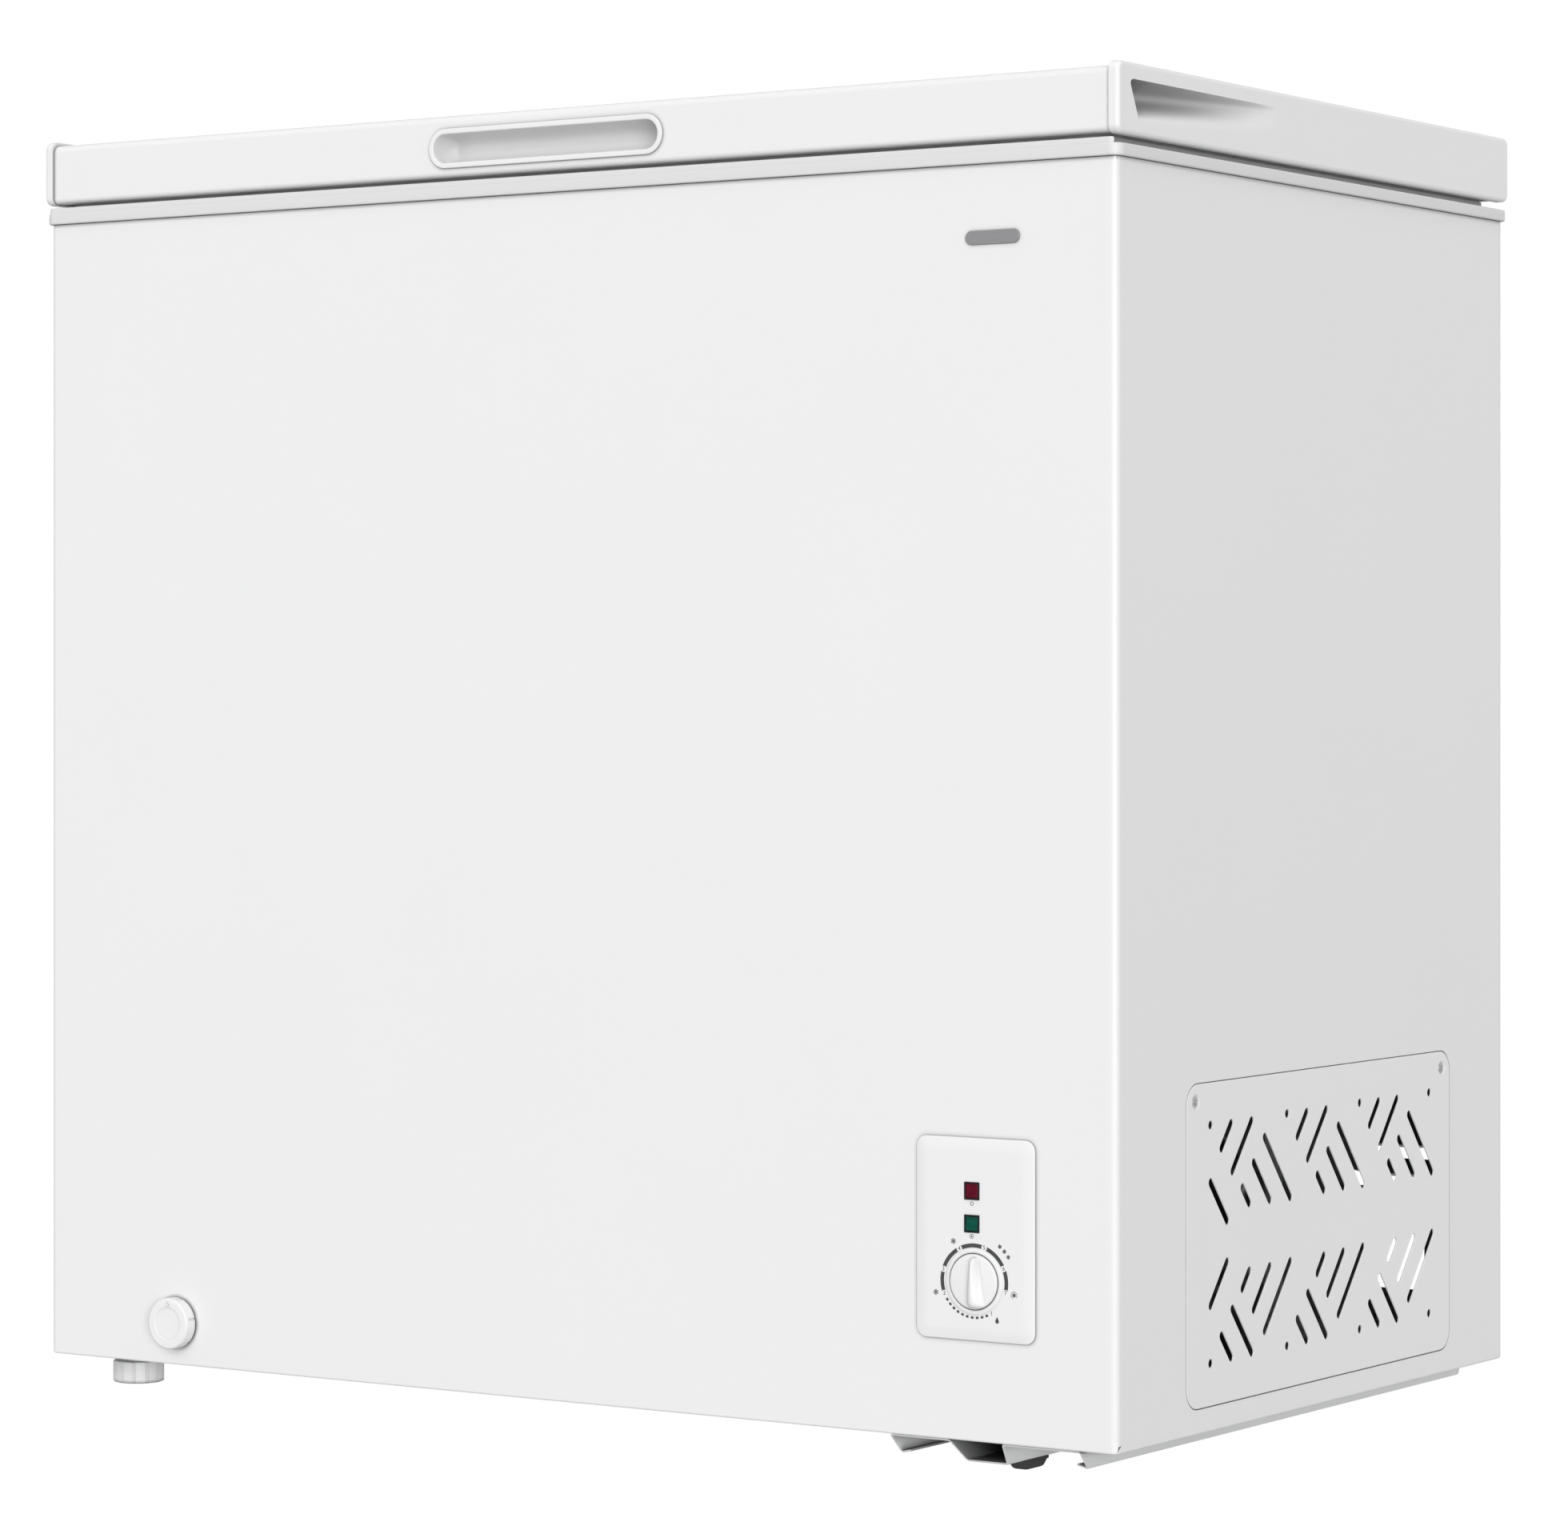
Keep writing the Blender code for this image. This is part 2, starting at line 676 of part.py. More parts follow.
def skid_foot(name, y):
    """A pad under the runner's channel that stands on the floor."""
    obj = box(name, (0.3060, y - 0.017, 0.0), (0.3325, y + 0.017, 0.0059), 0.0022, "z", 2)
    return put(obj, BLACK_RUBBER)


def mount_places():
    return [
        (COMPRESSOR[0] + sx * MOUNT_PITCH[0] / 2, COMPRESSOR[1] + sy * MOUNT_PITCH[1] / 2)
        for sx in (-1, 1)
        for sy in (-1, 1)
    ]


def compressor():
    """The oval can with its weld rim, on a pressed foot plate."""
    can = (
        (0.0, 0.160),
        (0.55, 0.155),
        (0.85, 0.140),
        (0.965, 0.115),
        (0.98, 0.068),
        (1.035, 0.068),
        (1.035, 0.062),
        (0.98, 0.062),
        (0.965, 0.026),
        (0.80, 0.006),
        (0.0, 0.001),
    )
    place = (COMPRESSOR[0], COMPRESSOR[1], COMPRESSOR_Z)
    obj = lathe("compressor", [(radius * 0.055, height) for radius, height in can], place, 24)
    obj.scale = (1.0, 1.36, 1.0)
    size = (MOUNT_PITCH[0] + 0.020, MOUNT_PITCH[1] + 0.024)
    foot = box(
        "compressor_foot",
        (place[0] - size[0] / 2, place[1] - size[1] / 2, COMPRESSOR_Z),
        (place[0] + size[0] / 2, place[1] + size[1] / 2, COMPRESSOR_Z + 0.0030),
        0.008,
        "z",
        2,
    )
    return put(join(obj, foot), BLACK_PAINT)


def relay_cover():
    y = COMPRESSOR[1] - 0.055 * 1.36
    obj = box("relay_cover", (0.300, y - 0.036, 0.078), (0.345, y - 0.0030, 0.134), 0.005, None, 2)
    return put(obj, BLACK_PLASTIC)


def compressor_mounts():
    base = PLATE_Z + 2 * GAP + PLATE
    high = COMPRESSOR_Z - GAP - base
    profile = ((0.0, high), (0.0075, high), (0.0075, high * 0.75), (0.0055, high * 0.6), (0.0095, 0.0))
    profile += ((0.0, 0.0),)
    for i, (x, y) in enumerate(mount_places()):
        put(lathe(f"compressor_mount_{i + 1}", profile, (x, y, base), 12), BLACK_RUBBER)


def filter_drier():
    profile = (
        (0.0, 0.070),
        (0.0022, 0.070),
        (0.0026, 0.064),
        (0.0090, 0.056),
        (0.0090, 0.014),
        (0.0026, 0.006),
        (0.0022, 0.0),
        (0.0, 0.0),
    )
    return put(lathe("filter_drier", profile, (*FILTER, 0.150), 14), COPPER)


def bay_tubes():
    """The suction, discharge, liquid and capillary tubes."""
    x, y = COMPRESSOR
    suction = [(x - 0.012, y + 0.062, 0.180), (x - 0.012, y + 0.064, 0.215)]
    suction += [(x - 0.014, y + 0.080, 0.232), (x - 0.014, y + 0.120, 0.238)]
    suction += [(0.308, 0.190, 0.240), (0.308, 0.218, 0.243), (0.308, 0.224, 0.2500), (0.308, 0.224, 0.2615)]
    put(tube("suction_tube", suction, 0.0035), COPPER)
    front = FRONT + 0.0041
    discharge = [(x - 0.0545, y + 0.010, 0.085), (x - 0.066, y + 0.006, 0.085)]
    discharge += [(x - 0.074, y - 0.010, 0.082), (x - 0.074, -0.200, 0.080), (x - 0.072, -0.245, 0.082)]
    discharge += [(x - 0.066, front, 0.092), (0.272, front, 0.1095), (0.2585, front, 0.110)]
    put(tube("discharge_tube", discharge, 0.0024), COPPER)
    filter_x, filter_y = FILTER
    liquid = [(0.262, front, 0.2405), (0.262, front, 0.2360), (0.261, -0.254, 0.233), (0.254, -0.235, 0.238)]
    liquid += [(filter_x, filter_y - 0.02, 0.240), (filter_x, filter_y - 0.004, 0.236)]
    liquid += [(filter_x, filter_y, 0.2300), (filter_x, filter_y, 0.2205)]
    put(tube("liquid_tube", liquid, 0.0020), COPPER)
    capillary = [(filter_x, filter_y, 0.1496), (filter_x, filter_y, 0.1430)]
    capillary += [(filter_x, filter_y + 0.006, 0.136), (filter_x, filter_y + 0.02, 0.132)]
    capillary += [(0.246, -0.05, 0.150), (0.246, 0.10, 0.205), (0.252, 0.19, 0.232), (0.290, 0.222, 0.240)]
    capillary += [(0.322, 0.226, 0.242), (0.328, 0.224, 0.2612)]
    put(tube("capillary_tube", capillary, 0.0012), COPPER)


def vent_outlines():
    found = []
    for group in range(3):
        start = GROUP_START + GROUP_PITCH * group
        slots = GROUP_SLOTS + ((FIRST_SLOT,) if group == 0 else ())
        for side in (1, -1):
            for along, height, length, angle in slots:
                place = (start + along, side * height)
                found.append(slot_outline(place, length, SLOT_WIDTH, side * angle, 3))
    for hole in range(4):
        for side in (1, -1):
            place = (GROUP_START + GROUP_PITCH * hole, side * HOLE_HEIGHT)
            found.append(circle_outline(place, 0.0028, 8))
    return found


def vent_grille():
    """The side grille: a slotted plate level with the skin, on a frame whose flange lies behind the skin."""
    outer = SIDE + VENT_PROUD
    flange = SIDE - SKIN - GAP
    obj = vent_plate("vent_grille", 0.0, outer - VENT_THICK, outer)
    frame = vent_plate("vent_frame", VENT_FLANGE, flange - PLATE, flange)
    opening = vent_plate("vent_frame_opening", -VENT_FRAME, flange - 0.01, flange + 0.01)
    screws = [circle_outline(place, 0.0021, 8) for place in VENT_SCREWS]
    outlines = [*vent_outlines(), *screws]
    openings = cut_out("vent_openings", outlines, 0.010, (SIDE, VENT_Y, VENT_Z), FACING_RIGHT)
    seats = [
        post(f"vent_seat_{i}", (outer - SEAT, VENT_Y + along, VENT_Z + height), 0.0046, 0.01, "x", 16)
        for i, (along, height) in enumerate(VENT_SCREWS)
    ]
    return put(cut(join(obj, cut(frame, opening)), openings, *seats), WHITE_PLASTIC)


def vent_screws():
    profile = ((0.0, 0.0009), (0.0026, 0.0007), (0.0036, 0.0), (0.0017, 0.0), (0.0017, -0.010), (0.0, -0.011))
    seat = SIDE + VENT_PROUD - SEAT + GAP
    for i, (along, height) in enumerate(VENT_SCREWS):
        place = (seat, VENT_Y + along, VENT_Z + height)
        put(lathe(f"vent_screw_{i + 1}", profile, place, 10, FACING_SIDE), ZINC)


def rear_cover():
    """The louvred sheet over the bay's rear opening, with a window and the cord gland's hole."""
    edge = rectangle_outline((0, 0), (0.172, 0.236), 0.006)
    centre = (0.325, 0.1455)
    rows = []
    for z in (0.1568, 0.1368):
        rows.append(rectangle_outline((centre[0] - 0.3375, z - centre[1]), (0.072, 0.0100), 0.0040))
    for z in (0.2068, 0.2268, 0.2468):
        rows.append(rectangle_outline((centre[0] - 0.283, z - centre[1]), (0.060, 0.0060), 0.0025))
    rows.append(rectangle_outline((centre[0] - 0.3385, 0.0850 - centre[1]), (0.039, 0.0450), 0.004))
    gland = circle_outline((centre[0] - 0.270, 0.085 - centre[1]), 0.0085, 14)
    place = (centre[0], BACK + 0.0009, centre[1])
    return put(cut_out("rear_cover", [edge, *rows, gland], 0.0012, place, FACING_BACK), ZINC)


def cord_gland():
    """The bush for the supply cord: a flange outside, a waist in the cover's hole and a flange inside."""
    profile = (
        (0.0042, 0.009),
        (0.0070, 0.009),
        (0.0100, 0.0025),
        (0.0110, 0.0005),
        (0.0110, 0.0003),
        (0.0080, 0.0003),
        (0.0080, -0.0018),
        (0.0110, -0.0018),
        (0.0100, -0.0045),
        (0.0042, -0.0045),
        (0.0042, 0.009),
    )
    obj = lathe("cord_gland", profile, (0.270, BACK + 0.0015, 0.085), 16, (math.radians(-90), 0, 0))
    return put(obj, BLACK_PLASTIC)


# Controls


def control_panel():
    """The raised plastic plate round the knob and the two lamps."""
    low = (PANEL_X - 0.0417, FRONT - 0.0033, PANEL_Z - 0.0610)
    high = (PANEL_X + 0.0417, FRONT - GAP, PANEL_Z + 0.0610)
    obj = box("control_panel", low, high, 0.0068, "y", 4)
    soften = obj.modifiers.new("soft_edge", "BEVEL")
    soften.width = 0.0016
    soften.segments = 2
    soften.limit_method = "ANGLE"
    soften.angle_limit = math.radians(50)
    ring_out = lathe(
        "panel_knob_ring",
        (
            (0.0180, 0.0045),
            (0.0190, 0.0045),
            (0.0200, 0.0036),
            (0.0200, 0.0015),
            (0.0180, 0.0015),
            (0.0180, 0.0045),
        ),
        (PANEL_X, FRONT, KNOB_Z),
        24,
        (math.radians(90), 0, 0),
    )
    join(obj, ring_out)
    shaft = post("panel_shaft_hole", (PANEL_X, FRONT - 0.02, KNOB_Z), 0.0045, 0.04, "y", 12)
    lamps = [
        box(
            f"panel_lamp_hole_{i}",
            (LAMP_X - LAMP_SIDE / 2 - GAP, FRONT - 0.01, z - LAMP_SIDE / 2 - GAP),
            (LAMP_X + LAMP_SIDE / 2 + GAP, FRONT + 0.01, z + LAMP_SIDE / 2 + GAP),
        )
        for i, z in enumerate(LAMP_ZS)
    ]
    return put(cut(obj, shaft, *lamps), WHITE_PLASTIC)


def lamp_block(name, z, half, near, far, radius=0.0):
    low, high = (LAMP_X - half, FRONT + near, z - half), (LAMP_X + half, FRONT + far, z + half)
    return box(name, low, high, radius, None, 1)


def lamps():
    """Two square lamps, each a lens in a thin black bezel."""
    for name, z, finish in (("power_lamp", LAMP_ZS[0], RED_LENS), ("run_lamp", LAMP_ZS[1], GREEN_LENS)):
        half = LAMP_SIDE / 2
        inner = half - 0.0010
        bezel = lamp_block(name + "_bezel", z, half, -0.0040, 0.010)
        put(cut(bezel, lamp_block(name + "_hole", z, inner, -0.02, 0.02)), BLACK_PLASTIC)
        put(lamp_block(name, z, inner - GAP, -0.0042, 0.008, 0.0006), finish)


def thermostat_body():
    low = (PANEL_X - 0.024, FRONT + 0.0050, KNOB_Z - 0.020)
    high = (PANEL_X + 0.024, FRONT + 0.0340, KNOB_Z + 0.019)
    obj = box("thermostat_body", low, high, 0.002, "y", 1)
    bore = post("thermostat_bore", (PANEL_X, FRONT - 0.01, KNOB_Z), 0.0034, 0.030, "y", 12)
    return put(cut(obj, bore), WHITE_PLASTIC)


def thermostat_sensor_tube():
    start = (PANEL_X + 0.018, FRONT + 0.020, KNOB_Z + 0.0193)
    points = [start, (start[0] + 0.002, start[1] + 0.004, 0.165)]
    points += [(start[0] + 0.012, start[1] + 0.030, 0.185)]
    points += [(SENSOR_TOP[0], SENSOR_TOP[1] - 0.010, 0.215), (SENSOR_TOP[0], SENSOR_TOP[1], 0.240)]
    points += [SENSOR_TOP]
    return put(tube("thermostat_sensor_tube", points, 0.0012), COPPER)


def knob(parent):
    """The thermostat knob: a dished disc with a tapered grip that points at the scale."""
    profile = (
        (0.0, 0.0100),
        (0.0120, 0.0100),
        (0.0155, 0.0090),
        (0.0168, 0.0075),
        (0.0170, 0.0050),
        (0.0050, 0.0050),
        (0.0050, 0.0048),
        (0.0, 0.0048),
    )
    obj = lathe("knob", profile, parent.location, 28, FACING_FRONT)
    grip = [(0.0, 0.0160), (0.0022, 0.0120), (0.0034, 0.0), (0.0040, -0.0120), (0.0030, -0.0155)]
    grip += [(-x, y) for x, y in grip[:0:-1]]
    ridge = cut_out(
        "knob_ridge", [grip], 0.0110, (PANEL_X, FRONT - 0.0125, KNOB_Z), FACING_FRONT
    )
    socket = post("knob_socket", (PANEL_X, FRONT - 0.0120, KNOB_Z), 0.0033, 0.020, "y", 12)
    return put(cut(join(obj, ridge), socket), WHITE_PLASTIC, parent)


def thermostat_shaft(parent):
    obj = post("thermostat_shaft", (PANEL_X, FRONT - 0.0110, KNOB_Z), 0.0029, 0.026, "y", 12)
    return put(obj, ZINC, parent)


# Pieces that turn or lift on the cabinet


def drain_cap(parent):
    """The screw cap over the drain outlet, hollow behind, with a raised ring and grip notches."""
    profile = (
        (0.0, 0.0100),
        (0.0110, 0.0100),
        (0.0118, 0.0106),
        (0.0128, 0.0100),
        (0.0150, 0.0096),
        (0.0168, 0.0075),
        (0.0170, 0.0006),
        (0.0148, 0.0006),
        (0.0148, 0.0070),
        (0.0, 0.0070),
    )
    obj = lathe("drain_cap", profile, parent.location, 24, FACING_FRONT)
    notches = []
    for i in range(6):
        angle = math.radians(30 + 60 * i)
        place = (DRAIN_X + 0.0178 * math.cos(angle), FRONT - 0.0085, DRAIN_Z + 0.0178 * math.sin(angle))
        notches.append(post(f"cap_notch_{i}", place, 0.0018, 0.0060, "y", 8))
    return put(cut(obj, *notches), WHITE_PLASTIC, parent)


def drain_plug(parent):
    """The plug in the tub's drain, with a finger tab."""
    profile = ((0.0, 0.0050), (0.0100, 0.0050), (0.0115, 0.0035), (0.0120, GAP), (0.0062, GAP))
    profile += ((0.0055, -0.0140), (0.0, -0.0140))
    obj = lathe("drain_plug", profile, parent.location, 16)
    x, y, z = parent.location
    low, high = (x - 0.007, y - 0.0012, z + 0.004), (x + 0.007, y + 0.0012, z + 0.014)
    tab = box("plug_tab", low, high, 0.003, "y", 2)
    return put(join(obj, tab), WHITE_PLASTIC, parent)


def foot(name, parent):
    """An adjustable foot: a ribbed pad on a threaded stem."""
    profile = (
        (0.0, 0.0400),
        (0.0042, 0.0400),
        (0.0042, 0.0200),
        (0.0090, 0.0180),
        (0.0160, 0.0165),
        (0.0176, 0.0150),
        (0.0176, 0.0015),
        (0.0165, 0.0),
        (0.0, 0.0),
    )
    return put(lathe(name, profile, parent.location, 20), WHITE_PLASTIC, parent)


def storage_basket(parent):
    """A wire basket that hangs by four hooks on the collar and slides along it."""
    low, high = Vector((0.137, -0.194, 0.562)), Vector((0.336, 0.1875, 0.782))
    rim, band_wire, cross_wire, long_wire = 0.0023, 0.0017, 0.0015, 0.0018
    bend, lean, shift = 0.012, 0.010, 0.0011
    land = WALL - 0.014

    def sides(axis, z):
        """The basket's near and far limits at a height: it narrows downwards."""
        inward = lean * (high.z - z) / (high.z - low.z)
        return low[axis] + inward, high[axis] - inward

    def band(label, z, grow, wire):
        (x0, x1), (y0, y1) = sides(0, z), sides(1, z)
        middle, size = ((x0 + x1) / 2, (y0 + y1) / 2), (x1 - x0 + grow, y1 - y0 + grow)
        outline = rectangle_outline(middle, size, bend, 2)
        return as_mesh(tube(label, [(x, y, z) for x, y in outline], wire, 0, True))

    obj = band("storage_basket", high.z, 0.0, rim)
    pieces = [band("basket_band", (low.z + high.z) / 2, -shift, band_wire)]
    for i in range(5):
        y = low.y + lean + 0.010 + (high.y - low.y - 2 * lean - 0.020) * i / 4
        (top0, top1), (bottom0, bottom1) = sides(0, high.z), sides(0, low.z)
        z = low.z + shift
        route = [(top0, y, high.z + 0.0005), (bottom0, y, z + bend), (bottom0 + bend, y, z)]
        route += [(bottom1 - bend, y, z), (bottom1, y, z + bend), (top1, y, high.z + 0.0005)]
        pieces.append(as_mesh(tube(f"basket_cross_{i}", route, cross_wire, 0)))
    for i in range(4):
        x = low.x + lean + 0.012 + (high.x - low.x - 2 * lean - 0.024) * i / 3
        (top0, top1), (bottom0, bottom1) = sides(1, high.z), sides(1, low.z)
        route = [(x, bottom0, low.z + bend), (x, bottom0 + bend, low.z)]
        route += [(x, bottom1 - bend, low.z), (x, bottom1, low.z + bend)]
        if i in (1, 2):
            rest = SEAL_Z + GAP + long_wire
            route = [(x, FRONT + land, rest), (x, top0 - 0.0045, rest), (x, top0 - 0.0035, high.z)] + route
            route += [(x, top1 + 0.0035, high.z), (x, top1 + 0.0045, rest), (x, BACK - land, rest)]
        else:
            route = [(x, top0, high.z + 0.0004)] + route + [(x, top1, high.z + 0.0004)]
        pieces.append(as_mesh(tube(f"basket_long_{i}", route, long_wire, 0)))
    join(obj, *pieces)
    return put(obj, BASKET_WIRE, parent)


# Lid


def lid_outer_panel(parent):
    """The painted steel cover of the lid: hem, front, top, rear and hem in one folded sheet."""
    front, back = FRONT - RIM + PANEL_INSET, BACK + RIM - PANEL_INSET
    bend, low = 0.0050, 0.0035
    profile = [(front + 0.0085, PANEL_BOTTOM)]
    profile += arc((front + low, PANEL_BOTTOM + low), low, -90, -180, 3)
    profile += arc((front + bend, PANEL_TOP - bend), bend, 180, 90, 4)
    profile += arc((back - bend, PANEL_TOP - bend), bend, 90, 0, 4)
    profile += arc((back - low, PANEL_BOTTOM + low), low, 0, -90, 3)
    profile += [(back - 0.0085, PANEL_BOTTOM)]
    obj = strip("lid_outer_panel", profile, -PANEL_END + GAP, PANEL_END - GAP, LID_SKIN, "x", 1.0)
    hole = handle_solid("panel_handle_hole", 0.1802, 0.0231, front - 0.01, front + 0.02)
    cut(obj, hole)
    return put(obj, WHITE_PAINT, parent)


def handle_solid(name, length, height, near, far):
    edge = slot_outline((0, 0), length, height, 0, 8)
    return cut_out(name, [edge], far - near, (0, (near + far) / 2, HANDLE_Z), FACING_FRONT)


def handle_insert(parent):
    """The moulded grip let into the lid's front: a proud bezel and a cup behind it."""
    front = FRONT - RIM + PANEL_INSET
    obj = handle_solid("handle_insert", 0.1835, 0.0256, front - 0.0016, front - GAP)
    cup = handle_solid("handle_cup", 0.1795, 0.0223, front - 0.0008, front + 0.0205)
    hollow = handle_solid("handle_hollow", 0.1755, 0.0185, front - 0.01, front + 0.0185)
    soften = hollow.modifiers.new("soft_end", "BEVEL")
    soften.width = 0.0060
    soften.segments = 3
    soften.limit_method = "ANGLE"
    soften.angle_limit = math.radians(50)
    return put(cut(join(obj, cup), hollow), WHITE_PLASTIC, parent)


def lid_end_cap(name, side, parent):
    """The moulded lid end: a side face with a rim round it and a scooped hand grip."""
    outer, inner = side * (SIDE + RIM), side * PANEL_END
    front, back = FRONT - RIM, BACK + RIM

    def slab(label, x0, x1, inset, radius, along, segments):
        low = (min(x0, x1), front + inset, LID_Z + inset)
        high = (max(x0, x1), back - inset, HEIGHT - inset)
        return box(label, low, high, radius, along, segments)

    obj = slab(name, inner, outer, 0.0, 0.0040, None, 3)
    square = slab(name + "_back", inner, inner + side * 0.0045, 0.0, 0.0040, "x", 3)
    pocket = slab(name + "_pocket", inner - side * 0.01, outer - side * 0.0024, 0.0030, 0.0020, "x", 1)
    face, out, deep = outer - side * 0.00001, outer + side * 0.004, outer - side * SCOOP_DEPTH
    wedge = [(x, FRONT + y, z) for x in (face, out) for y, z in SCOOP_SECTION]
    wedge += [(deep, FRONT + y, SCOOP_TOP) for y in SCOOP_FLOOR]
    scoop = hull(name + "_scoop", wedge)
    grown = ((0.0120, SCOOP_TOP - 0.003), (0.0150, SCOOP_TOP + 0.002), (0.2050, SCOOP_TOP + 0.002))
    grown += ((0.0200, SCOOP_LOW - 0.0035),)
    wall = [(outer - side * SCOOP_WALL, FRONT + y, z) for y, z in grown]
    near, far = SCOOP_FLOOR[0] - 0.003, SCOOP_FLOOR[1] + 0.004
    for y in (near, far):
        wall += [(deep - side * 0.002, FRONT + y, SCOOP_TOP + rise) for rise in (0.002, -0.004)]
    boss = hull(name + "_boss", wall)
    join(obj, square)
    cut(obj, pocket)
    join(obj, boss)
    cut(obj, scoop)
    return put(obj, WHITE_PLASTIC, parent)


def lid_inner_panel(parent):
    """The lid's inner skin: a flat border, a channel for the seal and a shallow plug that sits in the mouth."""
    size = (2 * PANEL_END - 0.004, DEPTH + 2 * RIM - 0.016)
    section = (
        (0.000, 0.8042, 0.004),
        (0.0030, 0.8042, 0.004),
        (0.0040, 0.8085, 0.004),
        (0.0140, 0.8085, 0.006),
        (0.0150, 0.8036, 0.006),
        (0.0640, 0.8036, 0.016),
        (0.0700, 0.7940, 0.016),
        (0.0760, 0.7925, 0.016),
        (0.1000, 0.7925, 0.020),
        (0.1060, 0.7950, 0.020),
    )
    obj = tray("lid_inner_panel", section, (0, MID_Y), size, 0.0012, 2)
    return put(obj, WHITE_PLASTIC, parent)


def lid_foam(parent):
    """The foam that fills the lid and backs its cover, with a pocket for the grip."""
    front, back = FRONT - RIM + PANEL_INSET, BACK + RIM - PANEL_INSET
    skin = LID_SKIN + GAP
    low = (-LID_FOAM_X, front + skin, 0.8105)
    high = (LID_FOAM_X, back - skin, PANEL_TOP - skin)
    obj = box("lid_foam", low, high, 0.0045, "x", 2)
    room = handle_solid("foam_handle", 0.1830, 0.0260, front - 0.01, front + 0.0220)
    return put(cut(obj, room), FOAM, parent)


def lid_gasket(parent):
    """The magnetic bellows seal round the lid."""
    size = (2 * PANEL_END - 0.004, DEPTH + 2 * RIM - 0.016)
    section = (
        (0.0045, 0.8080, 0.004),
        (0.0045, 0.8045, 0.004),
        (0.0052, 0.8030, 0.004),
        (0.0040, 0.8008, 0.004),
        (0.0040, SEAL_Z + GAP, 0.004),
        (0.0140, SEAL_Z + GAP, 0.006),
        (0.0140, 0.8008, 0.006),
        (0.0128, 0.8030, 0.006),
        (0.0135, 0.8045, 0.006),
        (0.0135, 0.8080, 0.006),
    )
    return put(ring("lid_gasket", section, (0, MID_Y), size, 2), GREY_RUBBER, parent)


# Hinges


def hinge_base(name, x):
    """The bracket on the cabinet's back: a plate with two cheeks that carry the pin."""
    near, far = BACK + GAP, BACK + 0.0245
    plate = box(name, (x - 0.028, near, 0.698), (x + 0.028, near + 0.0025, 0.7870))
    cheek = [(near, 0.700), (near, 0.7865), (BACK + 0.0043, 0.7885)]
    cheek += arc((HINGE_Y, HINGE_Z), 0.0080, 180, 0, 5)
    cheek += [(far, 0.786), (far, 0.740), (BACK + 0.012, 0.700)]
    pieces = []
    for side in (-1, 1):
        place = (x + side * 0.0235, 0, 0)
        pieces.append(cut_out(f"{name}_cheek_{side + 1}", [cheek], 0.0030, place, FACING_RIGHT))
    web = box(name + "_web", (x - 0.0240, near + 0.0018, 0.7000), (x + 0.0240, near + 0.0120, 0.7030))
    join(plate, *pieces, web)
    bore = post(name + "_bore", (x - 0.04, HINGE_Y, HINGE_Z), 0.0034, 0.08, "x", 12)
    return put(cut(plate, bore), ZINC)


def hinge_arm(name, x, parent):
    """The leaf on the lid's back, with the knuckle that turns on the pin."""
    near = BACK + RIM - PANEL_INSET + GAP
    plate = box(name, (x - 0.0190, near, 0.8080), (x + 0.0190, near + 0.0025, 0.8385), 0.004, "y", 2)
    knuckle = post(name + "_knuckle", (x - 0.0090, HINGE_Y, HINGE_Z), 0.0060, 0.018, "x", 14)
    section = ((near + 0.0004, 0.8090), (near + 0.0022, 0.8180))
    section += ((HINGE_Y, HINGE_Z + 0.0055), (HINGE_Y - 0.0050, HINGE_Z + 0.0010))
    web = hull(name + "_link", [(x + dx, y, z) for dx in (-0.0085, 0.0085) for y, z in section])
    join(plate, knuckle, web)
    bore = post(name + "_bore", (x - 0.04, HINGE_Y, HINGE_Z), 0.0034, 0.08, "x", 12)
    return put(cut(plate, bore), ZINC, parent)


def hinge_pin(name, x):
    profile = ((0.0, 0.0275), (0.0048, 0.0275), (0.0048, 0.0254), (0.0031, 0.0254))
    profile += ((0.0031, -0.0275), (0.0, -0.0275))
    return put(lathe(name, profile, (x, HINGE_Y, HINGE_Z), 12, FACING_SIDE), ZINC)


def hinge_spring(name, x):
    """The torsion spring on the pin, between the knuckle and the outer cheek."""
    turns, radius, wire, steps = 4, 0.0046, 0.0006, 10
    length = 0.0100
    points = []
    for i in range(turns * steps + 1):
        angle = 2 * math.pi * i / steps
        across = x + 0.0105 + length * i / (turns * steps)
        points.append((across, HINGE_Y + radius * math.cos(angle), HINGE_Z + radius * math.sin(angle)))
    return put(tube(name, points, wire, 0), ZINC)


